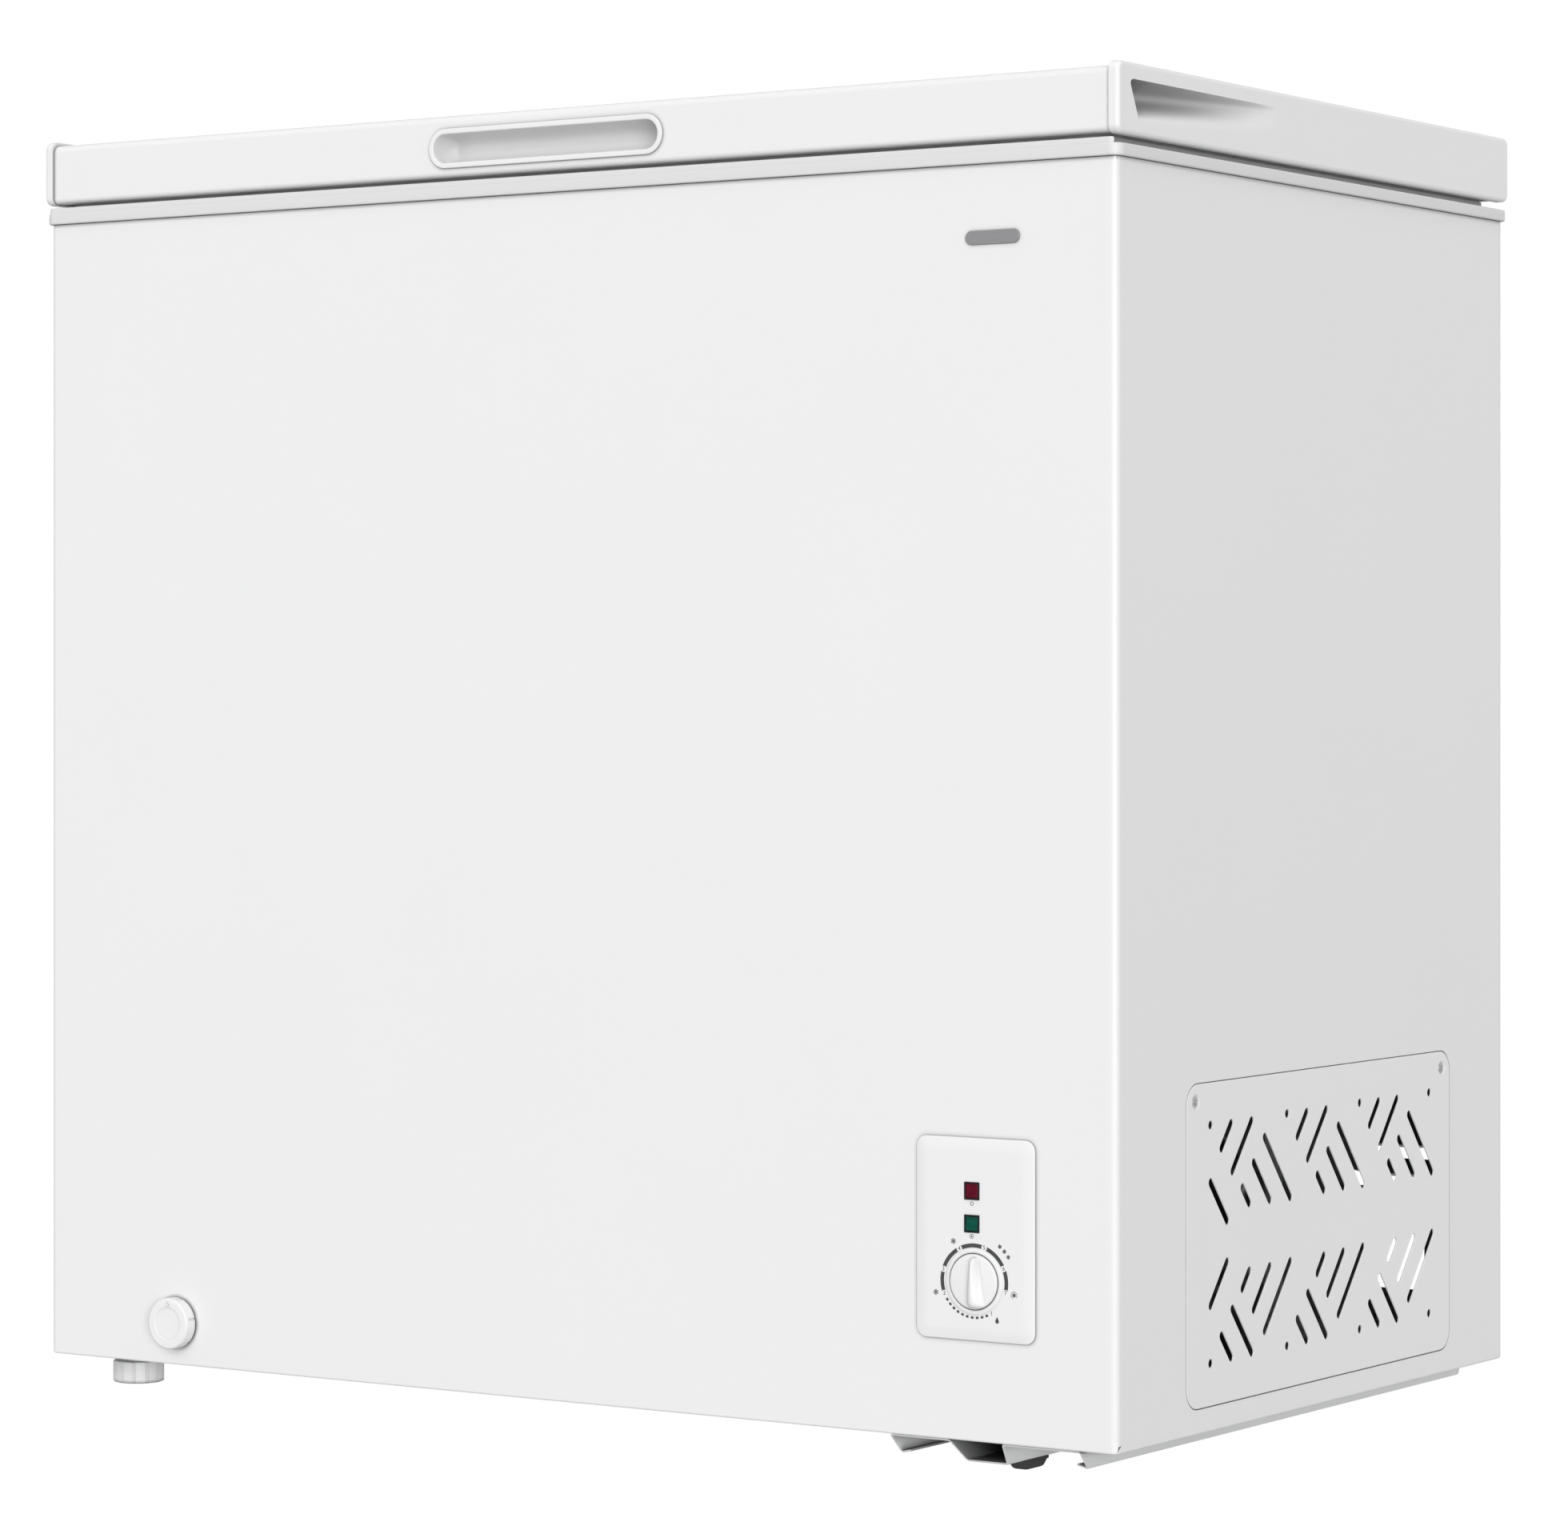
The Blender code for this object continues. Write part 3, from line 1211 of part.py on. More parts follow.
def build():
    outer_shell()
    back_panel()
    bottom_panel()
    collar_frame()
    inner_liner()
    foam_insulation()
    drain_tube()
    evaporator_coil()
    condenser_coil()
    badge()
    housing_panel()
    compressor_base_plate()
    base_runner()
    skid_foot("skid_foot_front", FRONT + 0.050)
    skid_foot("skid_foot_rear", BACK - 0.045)
    compressor()
    relay_cover()
    compressor_mounts()
    filter_drier()
    bay_tubes()
    vent_grille()
    vent_screws()
    rear_cover()
    cord_gland()
    control_panel()
    lamps()
    thermostat_body()
    thermostat_sensor_tube()
    knob_axis = axis_empty("knob_axis", (PANEL_X, FRONT, KNOB_Z))
    knob(knob_axis)
    thermostat_shaft(knob_axis)
    drain_cap(axis_empty("drain_cap_axis", (DRAIN_X, FRONT - GAP, DRAIN_Z)))
    drain_plug(axis_empty("drain_plug_axis", (DRAIN_X, DRAIN_Y, FLOOR_Z)))
    for name, y in zip(("foot_front_left", "foot_rear_left"), foot_ys()):
        foot(name, axis_empty(name + "_axis", (FOOT_X, y, 0.0)))
    storage_basket(axis_empty("basket_rail", (0.2365, MID_Y, SEAL_Z)))
    lid = axis_empty("lid_axis", (0.0, HINGE_Y, HINGE_Z))
    lid_outer_panel(lid)
    lid_end_cap("lid_end_cap_left", -1, lid)
    lid_end_cap("lid_end_cap_right", 1, lid)
    lid_inner_panel(lid)
    lid_foam(lid)
    lid_gasket(lid)
    handle_insert(lid)
    for word, x in zip(("left", "right"), HINGE_XS):
        hinge_base(f"hinge_base_{word}", x)
        hinge_arm(f"hinge_arm_{word}", x, lid)
        hinge_pin(f"hinge_pin_{word}", x)
        hinge_spring(f"hinge_spring_{word}", x)


build()
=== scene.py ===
"""The looks of the chest freezer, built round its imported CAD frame.

Metres, +Z up. The front faces -Y and the compressor bay is on the +X side. Each piece is modelled in place,
so every object sits at the origin and its place is in its mesh. Profiles, insets and corner radii are in
millimetres.
"""

import json
import math

import bmesh
import bpy
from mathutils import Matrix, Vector


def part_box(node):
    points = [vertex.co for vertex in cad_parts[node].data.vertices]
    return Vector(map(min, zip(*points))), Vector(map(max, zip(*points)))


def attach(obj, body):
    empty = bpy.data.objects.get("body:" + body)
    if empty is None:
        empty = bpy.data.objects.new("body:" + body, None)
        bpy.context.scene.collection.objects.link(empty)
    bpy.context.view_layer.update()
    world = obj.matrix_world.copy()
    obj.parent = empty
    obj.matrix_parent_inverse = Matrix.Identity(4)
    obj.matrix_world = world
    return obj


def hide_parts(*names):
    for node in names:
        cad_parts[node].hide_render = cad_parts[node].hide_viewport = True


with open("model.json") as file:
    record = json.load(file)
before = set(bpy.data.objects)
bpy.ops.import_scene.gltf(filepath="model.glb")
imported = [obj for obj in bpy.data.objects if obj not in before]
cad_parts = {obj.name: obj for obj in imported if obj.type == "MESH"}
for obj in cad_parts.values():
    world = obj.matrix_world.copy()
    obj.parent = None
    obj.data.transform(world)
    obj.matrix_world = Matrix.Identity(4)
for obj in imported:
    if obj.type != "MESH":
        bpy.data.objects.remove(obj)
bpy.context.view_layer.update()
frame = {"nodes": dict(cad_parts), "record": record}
MM = 0.001


def seen(node, axes):
    """The centre and the size of a CAD node's box, each along two axes."""
    low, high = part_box(node)
    centre = tuple((getattr(low, axis) + getattr(high, axis)) / 2 for axis in axes)
    return centre, tuple(getattr(high, axis) - getattr(low, axis) for axis in axes)


# Driving places, most read from the frame

shell_low, shell_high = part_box("outer_shell")
FRONT, BACK, SIDE = shell_low.y, shell_high.y, shell_high.x
BODY_Z, BODY_TOP = shell_low.z, shell_high.z
MID_Y = (FRONT + BACK) / 2
SKIN = 0.8 * MM
CORNER = 4.5 * MM
collar_low, collar_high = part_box("collar_frame")
SEAL_Z = collar_high.z
liner_low, liner_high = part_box("inner_liner")
cap_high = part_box("lid_end_cap_right")[1]
CAP_INNER = cap_high.x - 6.8 * MM
cover_low, cover_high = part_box("lid_outer_panel")
LID_FRONT, LID_BACK = cover_low.y, cover_high.y
(_, HANDLE_Z), HANDLE_SIZE = seen("handle_insert", "xz")
(PANEL_X, PANEL_Z), PANEL_SIZE = seen("control_panel", "xz")
PANEL_FACE = FRONT - 2.4 * MM
KNOB_Z = seen("knob", "xz")[0][1]
DRAIN_X, DRAIN_Z = seen("drain_cap", "xz")[0]
VENT_FLANGE = 5.0 * MM
VENT_CORNER = 13.5 * MM
VENT_PLAY = 0.5 * MM
VENT_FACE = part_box("vent_grille")[1].x
(VENT_Y, VENT_Z), vent_box = seen("vent_grille", "yz")
VENT_SIZE = tuple(side - 2 * VENT_FLANGE for side in vent_box)


# Camera, stage and light

FLOOR_TONE, FLOOR_GLOW, FLOOR_GLOW_SEEN = 0.05, 0.44, 1.0
SKY, SKY_SEEN = 0.575, 1.02
SUNS = (
    # name, direction it shines, angle across, strength, seen in reflections
    ("key", (-0.2, 1.0, -0.5), 34.0, 0.94, False),
    ("corner", (-1.08, 1.0, -0.05), 24.0, 1.86, True),
    ("top", (-0.1, 0.15, -1.0), 60.0, 0.30, False),
)


def placed(name, data):
    obj = bpy.data.objects.new(name, data)
    bpy.context.scene.collection.objects.link(obj)
    return obj


def camera():
    data = bpy.data.cameras.new("camera")
    data.sensor_width = 36.0
    data.lens = 116.83
    data.shift_y = -0.0481
    data.clip_start = 0.05
    obj = placed("camera", data)
    obj.location = (1.9157, -2.8767, 0.4767)
    obj.rotation_euler = (math.radians(90), 0, math.radians(33.58))
    bpy.context.scene.camera = obj


def split_for_camera(tree, socket, lit, seen_directly):
    """Gives the socket one strength as a light on the object and another where the camera sees it."""
    path = tree.nodes.new("ShaderNodeLightPath")
    level = tree.nodes.new("ShaderNodeMapRange")
    level.inputs["To Min"].default_value = lit
    level.inputs["To Max"].default_value = seen_directly
    tree.links.new(path.outputs["Is Camera Ray"], level.inputs["Value"])
    tree.links.new(level.outputs["Result"], socket)


def floor():
    """A white floor, dimmer as a light than it looks."""
    shape = bmesh.new()
    bmesh.ops.create_grid(shape, x_segments=1, y_segments=1, size=60.0)
    obj = piece_from("stage_floor", shape)
    made = bpy.data.materials.new("stage_floor")
    made.use_nodes = True
    shader = made.node_tree.nodes["Principled BSDF"]
    shader.inputs["Base Color"].default_value = (FLOOR_TONE, FLOOR_TONE, FLOOR_TONE, 1)
    shader.inputs["Roughness"].default_value = 1.0
    shader.inputs["Specular IOR Level"].default_value = 0.0
    shader.inputs["Emission Color"].default_value = (1, 1, 1, 1)
    split_for_camera(made.node_tree, shader.inputs["Emission Strength"], FLOOR_GLOW, FLOOR_GLOW_SEEN)
    obj.data.materials.append(made)


def light():
    world = bpy.data.worlds.new("studio")
    world.use_nodes = True
    back = world.node_tree.nodes["Background"]
    back.inputs["Color"].default_value = (1, 1, 1, 1)
    split_for_camera(world.node_tree, back.inputs["Strength"], SKY, SKY_SEEN)
    bpy.context.scene.world = world
    for name, way, across, strength, in_reflections in SUNS:
        data = bpy.data.lights.new(name, "SUN")
        data.angle = math.radians(across)
        data.energy = strength
        obj = placed(name, data)
        obj.visible_glossy = in_reflections
        obj.rotation_euler = Vector(way).to_track_quat("-Z", "Y").to_euler()
    bpy.context.scene.view_settings.view_transform = "Standard"


# Materials


def noise(tree, coords, scale, detail=2.0, stretch=None):
    """A noise texture in object space; stretch scales the axes first."""
    if stretch:
        mapping = tree.nodes.new("ShaderNodeMapping")
        mapping.inputs["Scale"].default_value = stretch
        tree.links.new(coords, mapping.inputs["Vector"])
        coords = mapping.outputs["Vector"]
    made = tree.nodes.new("ShaderNodeTexNoise")
    made.inputs["Scale"].default_value = scale
    made.inputs["Detail"].default_value = detail
    tree.links.new(coords, made.inputs["Vector"])
    return made.outputs["Fac"]


def cells(tree, coords, scale):
    made = tree.nodes.new("ShaderNodeTexVoronoi")
    made.inputs["Scale"].default_value = scale
    tree.links.new(coords, made.inputs["Vector"])
    return made


def ranged(tree, value, low, high):
    """Spreads the middle of a texture's range over low to high."""
    made = tree.nodes.new("ShaderNodeMapRange")
    for socket, level in (("From Min", 0.3), ("From Max", 0.7), ("To Min", low), ("To Max", high)):
        made.inputs[socket].default_value = level
    tree.links.new(value, made.inputs["Value"])
    return made.outputs["Result"]


def blended(tree, share, first, second):
    """A colour between two fixed ones."""
    mix = tree.nodes.new("ShaderNodeMix")
    mix.data_type = "RGBA"
    mix.inputs[6].default_value = (*first, 1)
    mix.inputs[7].default_value = (*second, 1)
    tree.links.new(share, mix.inputs[0])
    return mix.outputs[2]


def bumps(tree, layers):
    """Chains bump layers of (height output, strength, distance); returns the last normal."""
    normal = None
    for height, strength, distance in layers:
        made = tree.nodes.new("ShaderNodeBump")
        made.inputs["Strength"].default_value = strength
        made.inputs["Distance"].default_value = distance
        tree.links.new(height, made.inputs["Height"])
        if normal:
            tree.links.new(normal, made.inputs["Normal"])
        normal = made.outputs["Normal"]
    return normal


def shaded(tree, colour, painted_shade, reach):
    """The colour with painted shade: darkened towards DEEP_SHADE where the surface lies in a gap or a hollow
    no wider than the reach.
    """
    if not painted_shade:
        return colour
    near = tree.nodes.new("ShaderNodeAmbientOcclusion")
    near.samples = 8
    near.inputs["Distance"].default_value = reach
    curve = tree.nodes.new("ShaderNodeMath")
    curve.operation = "POWER"
    curve.inputs[1].default_value = painted_shade
    tree.links.new(near.outputs["AO"], curve.inputs[0])
    mixed = blended(tree, curve.outputs["Value"], DEEP_SHADE, DEEP_SHADE)
    tree.links.new(colour, mixed.node.inputs[7])
    return mixed


def material(
    name, colour, rough, metallic=0.0, mottle=0.012, blotch=9.0, grain=1400.0, relief=0.03, stretch=None,
    spangle=0.0, coat=0.0, pebble=0.0, pebble_scale=300.0, spread=0.05, specular=0.5, painted_shade=0.0,
    reach=3 * MM,
):
    """A finish with slow colour drift, a fine grain and, where asked, spangle, pebbling or painted shade in
    crevices and hollows.
    """
    made = bpy.data.materials.new(name)
    made.use_nodes = True
    tree = made.node_tree
    shader = tree.nodes["Principled BSDF"]
    shader.inputs["Metallic"].default_value = metallic
    shader.inputs["Coat Weight"].default_value = coat
    shader.inputs["Coat Roughness"].default_value = 0.12
    shader.inputs["Specular IOR Level"].default_value = specular
    coords = tree.nodes.new("ShaderNodeTexCoord").outputs["Object"]
    if spangle:
        drift = cells(tree, coords, spangle).outputs["Color"]
    else:
        drift = noise(tree, coords, blotch, 3.0, stretch)
    dark, pale = [c * (1 - mottle) for c in colour], [min(1.0, c * (1 + mottle)) for c in colour]
    base = blended(tree, ranged(tree, drift, 0.0, 1.0), dark, pale)
    tree.links.new(shaded(tree, base, painted_shade, reach), shader.inputs["Base Color"])
    gloss = ranged(tree, noise(tree, coords, blotch * 3, 2.0, stretch), rough - spread, rough + spread)
    tree.links.new(gloss, shader.inputs["Roughness"])
    layers = [(noise(tree, coords, grain, 2.0, stretch), relief, 0.0002)]
    if pebble:
        layers.append((cells(tree, coords, pebble_scale).outputs["Distance"], pebble, 0.0006))
    tree.links.new(bumps(tree, layers), shader.inputs["Normal"])
    return made


def lens_material(name, colour, painted_glow):
    """A tinted window with painted light: a little lighter in places, standing for the lamp that sits behind
    it.
    """
    made = material(name, colour, 0.34, mottle=0.05, blotch=600.0, relief=0.02, specular=0.18)
    tree = made.node_tree
    glow_patches = noise(tree, tree.nodes["Texture Coordinate"].outputs["Object"], 240.0, 1.0)
    glow = blended(tree, ranged(tree, glow_patches, 0.0, 1.0), colour, painted_glow)
    tree.links.new(glow, tree.nodes["Principled BSDF"].inputs["Base Color"])
    return made


DEEP_SHADE = (0.012, 0.012, 0.013)
WHITE = (0.83, 0.83, 0.832)
MOULDED = {"mottle": 0.003, "relief": 0.035, "grain": 2600.0, "spread": 0.01}
STEEL = {"mottle": 0.02, "relief": 0.05, "metallic": 0.2}
# The white plastics carry painted shade: they are darkened in gaps within the reach.
PLASTIC = material("moulded_plastic", WHITE, 0.38, painted_shade=1.2, **MOULDED)
FRAME_PLASTIC = material("frame_plastic", (0.72, 0.72, 0.722), 0.42, painted_shade=1.2, **MOULDED)
# A copy of the white plastic with deeper painted shade, for the inside of the grip's cup.
CUP_SHADE_PLASTIC = material("moulded_cup_painted_shade", WHITE, 0.38, painted_shade=0.28, reach=20 * MM, **MOULDED)
# A copy of the white plastic with deep painted shade, for the hand scoops in the end caps.
SCOOP_SHADE_PLASTIC = material("moulded_scoop_painted_shade", WHITE, 0.38, painted_shade=1.7, reach=26 * MM, **MOULDED)
# Galvanised steel painted dark to stand for the shade inside the compressor bay.
BAY_SHADE_STEEL = material(
    "galvanised_steel_bay_shade", (0.12, 0.12, 0.122), 0.45, metallic=0.5, mottle=0.05, spangle=140.0, relief=0.05,
)
# Pressed steel with painted shade in its gaps, and a darker copy with wider painted shade for the runner's
# troughs.
PRESSED = material("pressed_steel", (0.80, 0.805, 0.81), 0.42, painted_shade=1.0, reach=7 * MM, **STEEL)
TROUGH_SHADE_STEEL = material("pressed_steel_trough_shade", (0.62, 0.625, 0.63), 0.45, painted_shade=0.5, reach=40 * MM, **STEEL)
INK = material("grey_ink", (0.06, 0.06, 0.062), 0.6, mottle=0.08, blotch=400.0, relief=0.05)
SCREW = material("screw_steel", (0.66, 0.66, 0.67), 0.30, metallic=0.9, mottle=0.06, relief=0.05)
SLOT_FINISH = {
    # The cabinet's painted steel is darkened in its gaps: painted shade.
    "white_steel": material(
        "painted_steel", WHITE, 0.26, mottle=0.003, grain=1100.0, coat=0.15, spread=0.008, painted_shade=1.2,
    ),
    "white_plastic": PLASTIC,
    "liner_metal": material(
        "embossed_liner", (0.80, 0.81, 0.82), 0.36, metallic=0.25, mottle=0.02, pebble=0.35,
        pebble_scale=260.0,
    ),
    "foam": material(
        "foam", (0.80, 0.68, 0.40), 0.92, mottle=0.12, blotch=60.0, relief=0.4, grain=900.0, pebble=0.6,
    ),
    "seal_rubber": material("gasket_vinyl", (0.46, 0.46, 0.465), 0.55, mottle=0.03, relief=0.08),
    "black_rubber": material(
        "black_rubber", (0.05, 0.05, 0.052), 0.78, mottle=0.2, relief=0.25, grain=1800.0, specular=0.35,
    ),
    "zinc_steel": material(
        "galvanised_steel", (0.60, 0.61, 0.62), 0.40, metallic=0.7, mottle=0.035, spangle=140.0, relief=0.05,
    ),
    "copper": material(
        "copper", (0.70, 0.33, 0.19), 0.30, metallic=1.0, mottle=0.16, blotch=40.0, spread=0.12,
    ),
    "steel_tube": material("tube_steel", (0.40, 0.40, 0.41), 0.42, metallic=0.9, mottle=0.12, blotch=50.0),
    "black_paint": material(
        "black_enamel", (0.012, 0.012, 0.013), 0.28, mottle=0.3, relief=0.1, grain=700.0, coat=0.5,
    ),
    "black_plastic": material(
        "black_plastic", (0.010, 0.010, 0.011), 0.5, mottle=0.2, relief=0.12, specular=0.3,
    ),
    "red_lens": lens_material("red_window", (0.085, 0.0, 0.008), (0.15, 0.002, 0.020)),
    "green_lens": lens_material("green_window", (0.0, 0.045, 0.030), (0.0, 0.095, 0.065)),
    "badge_metal": material(
        "badge_metal", (0.37, 0.37, 0.38), 0.36, metallic=0.55, mottle=0.06, stretch=(1, 1, 40), blotch=120.0,
    ),
    "basket_wire": material("coated_wire", (0.84, 0.84, 0.845), 0.30, mottle=0.01, blotch=40.0, coat=0.3),
}


# Mesh tools


def piece_from(name, shape):
    mesh = bpy.data.meshes.new(name)
    shape.to_mesh(mesh)
    shape.free()
    return placed(name, mesh)


def skinned(name, shape):
    bmesh.ops.recalc_face_normals(shape, faces=shape.faces)
    return piece_from(name, shape)


def applied(obj):
    """Turns the object's modifiers, or a curve, into its own mesh in place."""
    bpy.context.view_layer.update()
    evaluated = obj.evaluated_get(bpy.context.evaluated_depsgraph_get())
    mesh = bpy.data.meshes.new_from_object(evaluated)
    mesh.transform(obj.matrix_world)
    name = obj.name
    bpy.data.objects.remove(obj, do_unlink=True)
    mesh.name = name
    return placed(name, mesh)


def modified(obj, kind, **values):
    modifier = obj.modifiers.new(kind.lower(), kind)
    for name, value in values.items():
        setattr(modifier, name, value)


def boolean(obj, others, operation):
    for other in others:
        modified(obj, "BOOLEAN", operation=operation, object=other, solver="EXACT")
        obj = applied(obj)
        bpy.data.objects.remove(other, do_unlink=True)
    return obj


def cut(obj, *others):
    return boolean(obj, others, "DIFFERENCE")


def join(obj, *others):
    return boolean(obj, others, "UNION")


def grouped(name, objects):
    """Several solids as one object, with no Boolean between them."""
    shape = bmesh.new()
    for obj in objects:
        shape.from_mesh(obj.data)
        bpy.data.objects.remove(obj, do_unlink=True)
    return piece_from(name, shape)


def thickened(obj, thickness, offset):
    modified(obj, "SOLIDIFY", thickness=thickness, offset=offset, use_even_offset=True)
    return applied(obj)


def arc(centre, radius, start, end, steps):
    found = []
    for step in range(steps + 1):
        angle = math.radians(start + (end - start) * step / steps)
        found.append((centre[0] + radius * math.cos(angle), centre[1] + radius * math.sin(angle)))
    return found


def circle(centre, radius, steps=24):
    return arc(centre, radius, 0, 360, steps)[:-1]


def rectangle(centre, size, radius, steps=6):
    x, y = size[0] / 2 - radius, size[1] / 2 - radius
    found = []
    for sx, sy, start in ((1, 1, 0), (-1, 1, 90), (-1, -1, 180), (1, -1, 270)):
        found += arc((centre[0] + sx * x, centre[1] + sy * y), radius, start, start + 90, steps)
    return found


def shrunk(centre, size, inset, radius, steps=6):
    """A rounded rectangle set in from its size, with the inset and the corner radius in millimetres."""
    return rectangle(centre, (size[0] - 2 * inset * MM, size[1] - 2 * inset * MM), radius * MM, steps)


def slot(centre, length, width, angle=0.0, steps=6):
    run = (length - width) / 2
    step = (run * math.cos(math.radians(angle)), run * math.sin(math.radians(angle)))
    head = (centre[0] + step[0], centre[1] + step[1])
    tail = (centre[0] - step[0], centre[1] - step[1])
    first_end = arc(head, width / 2, angle - 90, angle + 90, steps)
    return first_end + arc(tail, width / 2, angle + 90, angle + 270, steps)


def filleted(points, radius, steps=3):
    """An open line of points with its inner corners rounded."""
    found = [points[0]]
    for before, corner, after in zip(points, points[1:], points[2:]):
        a, c, b = Vector(before), Vector(corner), Vector(after)
        reach = min(radius, (a - c).length * 0.45, (b - c).length * 0.45)
        start, end = c + (a - c).normalized() * reach, c + (b - c).normalized() * reach
        for step in range(steps + 1):
            t = step / steps
            found.append(tuple((1 - t) ** 2 * start + 2 * t * (1 - t) * c + t * t * end))
    return found + [points[-1]]


def edge_round(width, rise, steps=5):
    """(inset, height) round a quarter of an ellipse, from the outer edge inwards and up."""
    quarter = [math.pi / 2 * step / steps for step in range(steps + 1)]
    return [(width * (1 - math.cos(angle)), rise * math.sin(angle)) for angle in quarter]


def on_front(outline, y):
    return [(x, y, z) for x, z in outline]


def on_side(outline, x):
    return [(x, y, z) for y, z in outline]


def on_level(outline, z):
    return [(x, y, z) for x, y in outline]


def loft(name, loops, closed=False):
    """A solid skinned through loops of points; when it isn't closed on itself its ends are capped."""
    shape = bmesh.new()
    rows = [[shape.verts.new(point) for point in loop] for loop in loops]
    pairs = list(zip(rows, rows[1:]))
    if closed:
        pairs.append((rows[-1], rows[0]))
    else:
        shape.faces.new(rows[0])
        shape.faces.new(rows[-1])
    count = len(rows[0])
    for a, b in pairs:
        for i in range(count):
            j = (i + 1) % count
            shape.faces.new((a[i], a[j], b[j], b[i]))
    return skinned(name, shape)


def prism(name, place, outline, *levels):
    """A solid whose outline stays the same through its levels; place is on_front, on_side or on_level."""
    return loft(name, [place(outline, level) for level in levels])


def sheet_of(name, rows):
    """An open grid of faces through rows of points."""
    shape = bmesh.new()
    made = [[shape.verts.new(point) for point in row] for row in rows]
    for a, b in zip(made, made[1:]):
        for i in range(len(a) - 1):
            shape.faces.new((a[i], a[i + 1], b[i + 1], b[i]))
    return piece_from(name, shape)


def turned(name, profile, place, towards, steps=64):
    """A turned solid: its profile is (radius, height) in millimetres, and it starts and ends on the axis."""
    normal = Vector({"up": (0, 0, 1), "front": (0, -1, 0), "right": (1, 0, 0)}[towards])
    across = Vector((0, 1, 0)) if towards == "right" else Vector((1, 0, 0))
    other = normal.cross(across)
    shape = bmesh.new()
    rings = []
    for radius, height in profile:
        centre = Vector(place) + normal * (height * MM)
        if radius == 0:
            rings.append([shape.verts.new(centre)])
            continue
        ring = []
        for step in range(steps):
            angle = 2 * math.pi * step / steps
            out = across * math.cos(angle) + other * math.sin(angle)
            ring.append(shape.verts.new(centre + out * (radius * MM)))
        rings.append(ring)
    for a, b in zip(rings, rings[1:]):
        for i in range(steps):
            j = (i + 1) % steps
            if len(a) == 1 and len(b) > 1:
                shape.faces.new((a[0], b[i], b[j]))
            elif len(b) == 1 and len(a) > 1:
                shape.faces.new((a[i], a[j], b[0]))
            elif len(a) > 1:
                shape.faces.new((a[i], a[j], b[j], b[i]))
    return skinned(name, shape)


def tube(name, points, radius, sides=10, cyclic=False):
    """A round bar along a line of points."""
    data = bpy.data.curves.new(name, "CURVE")
    data.dimensions = "3D"
    data.bevel_depth = radius
    data.bevel_resolution = sides // 2 - 1
    data.use_fill_caps = True
    spline = data.splines.new("POLY")
    spline.points.add(len(points) - 1)
    spline.use_cyclic_u = cyclic
    for point, place in zip(spline.points, points):
        point.co = (*place, 1.0)
    return applied(placed(name, data))


def block(name, low, high):
    low, high = Vector(low), Vector(high)
    shape = bmesh.new()
    bmesh.ops.create_cube(shape, size=1.0)
    bmesh.ops.scale(shape, vec=high - low, verts=shape.verts)
    bmesh.ops.translate(shape, vec=(low + high) / 2, verts=shape.verts)
    return piece_from(name, shape)


def finish(obj, slot_name, node=None, body="cabinet", look=None, angle=34):
    """Shades the piece, gives it its slot's finish or the look asked for, and lets it ride on its body."""
    obj.data.materials.clear()
    obj.data.materials.append(look or SLOT_FINISH[slot_name])
    obj.data.shade_smooth()
    obj.data.set_sharp_from_angle(angle=math.radians(angle))
    modified(obj, "WEIGHTED_NORMAL", keep_sharp=True, weight=50)
    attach(obj, body)
    if node:
        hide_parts(node)
    return obj


def second_look(obj, look, chosen):
    """Gives the faces that chosen accepts a finish of their own."""
    obj.data.materials.append(look)
    for face in obj.data.polygons:
        face.material_index = int(chosen(face))


# Cabinet skin


def skin_path(inset):
    """The wrap's line in plan: from one rear return round the front to the other."""
    half, turn = SIDE - inset, max(CORNER - inset, 0.4 * MM)
    front, back = FRONT + inset, BACK - inset
    hem = SIDE - 14 * MM
    line = [(hem, back)]
    line += arc((half - turn, back - turn), turn, 90, 0, 8)
    line += arc((half - turn, front + turn), turn, 0, -90, 8)
    line += arc((-half + turn, front + turn), turn, -90, -180, 8)
    line += arc((-half + turn, back - turn), turn, 180, 90, 8)
    return line + [(-hem, back)]


def vent_outline(grow):
    size = (VENT_SIZE[0] + 2 * grow, VENT_SIZE[1] + 2 * grow)
    return rectangle((VENT_Y, VENT_Z), size, VENT_CORNER + grow, 10)


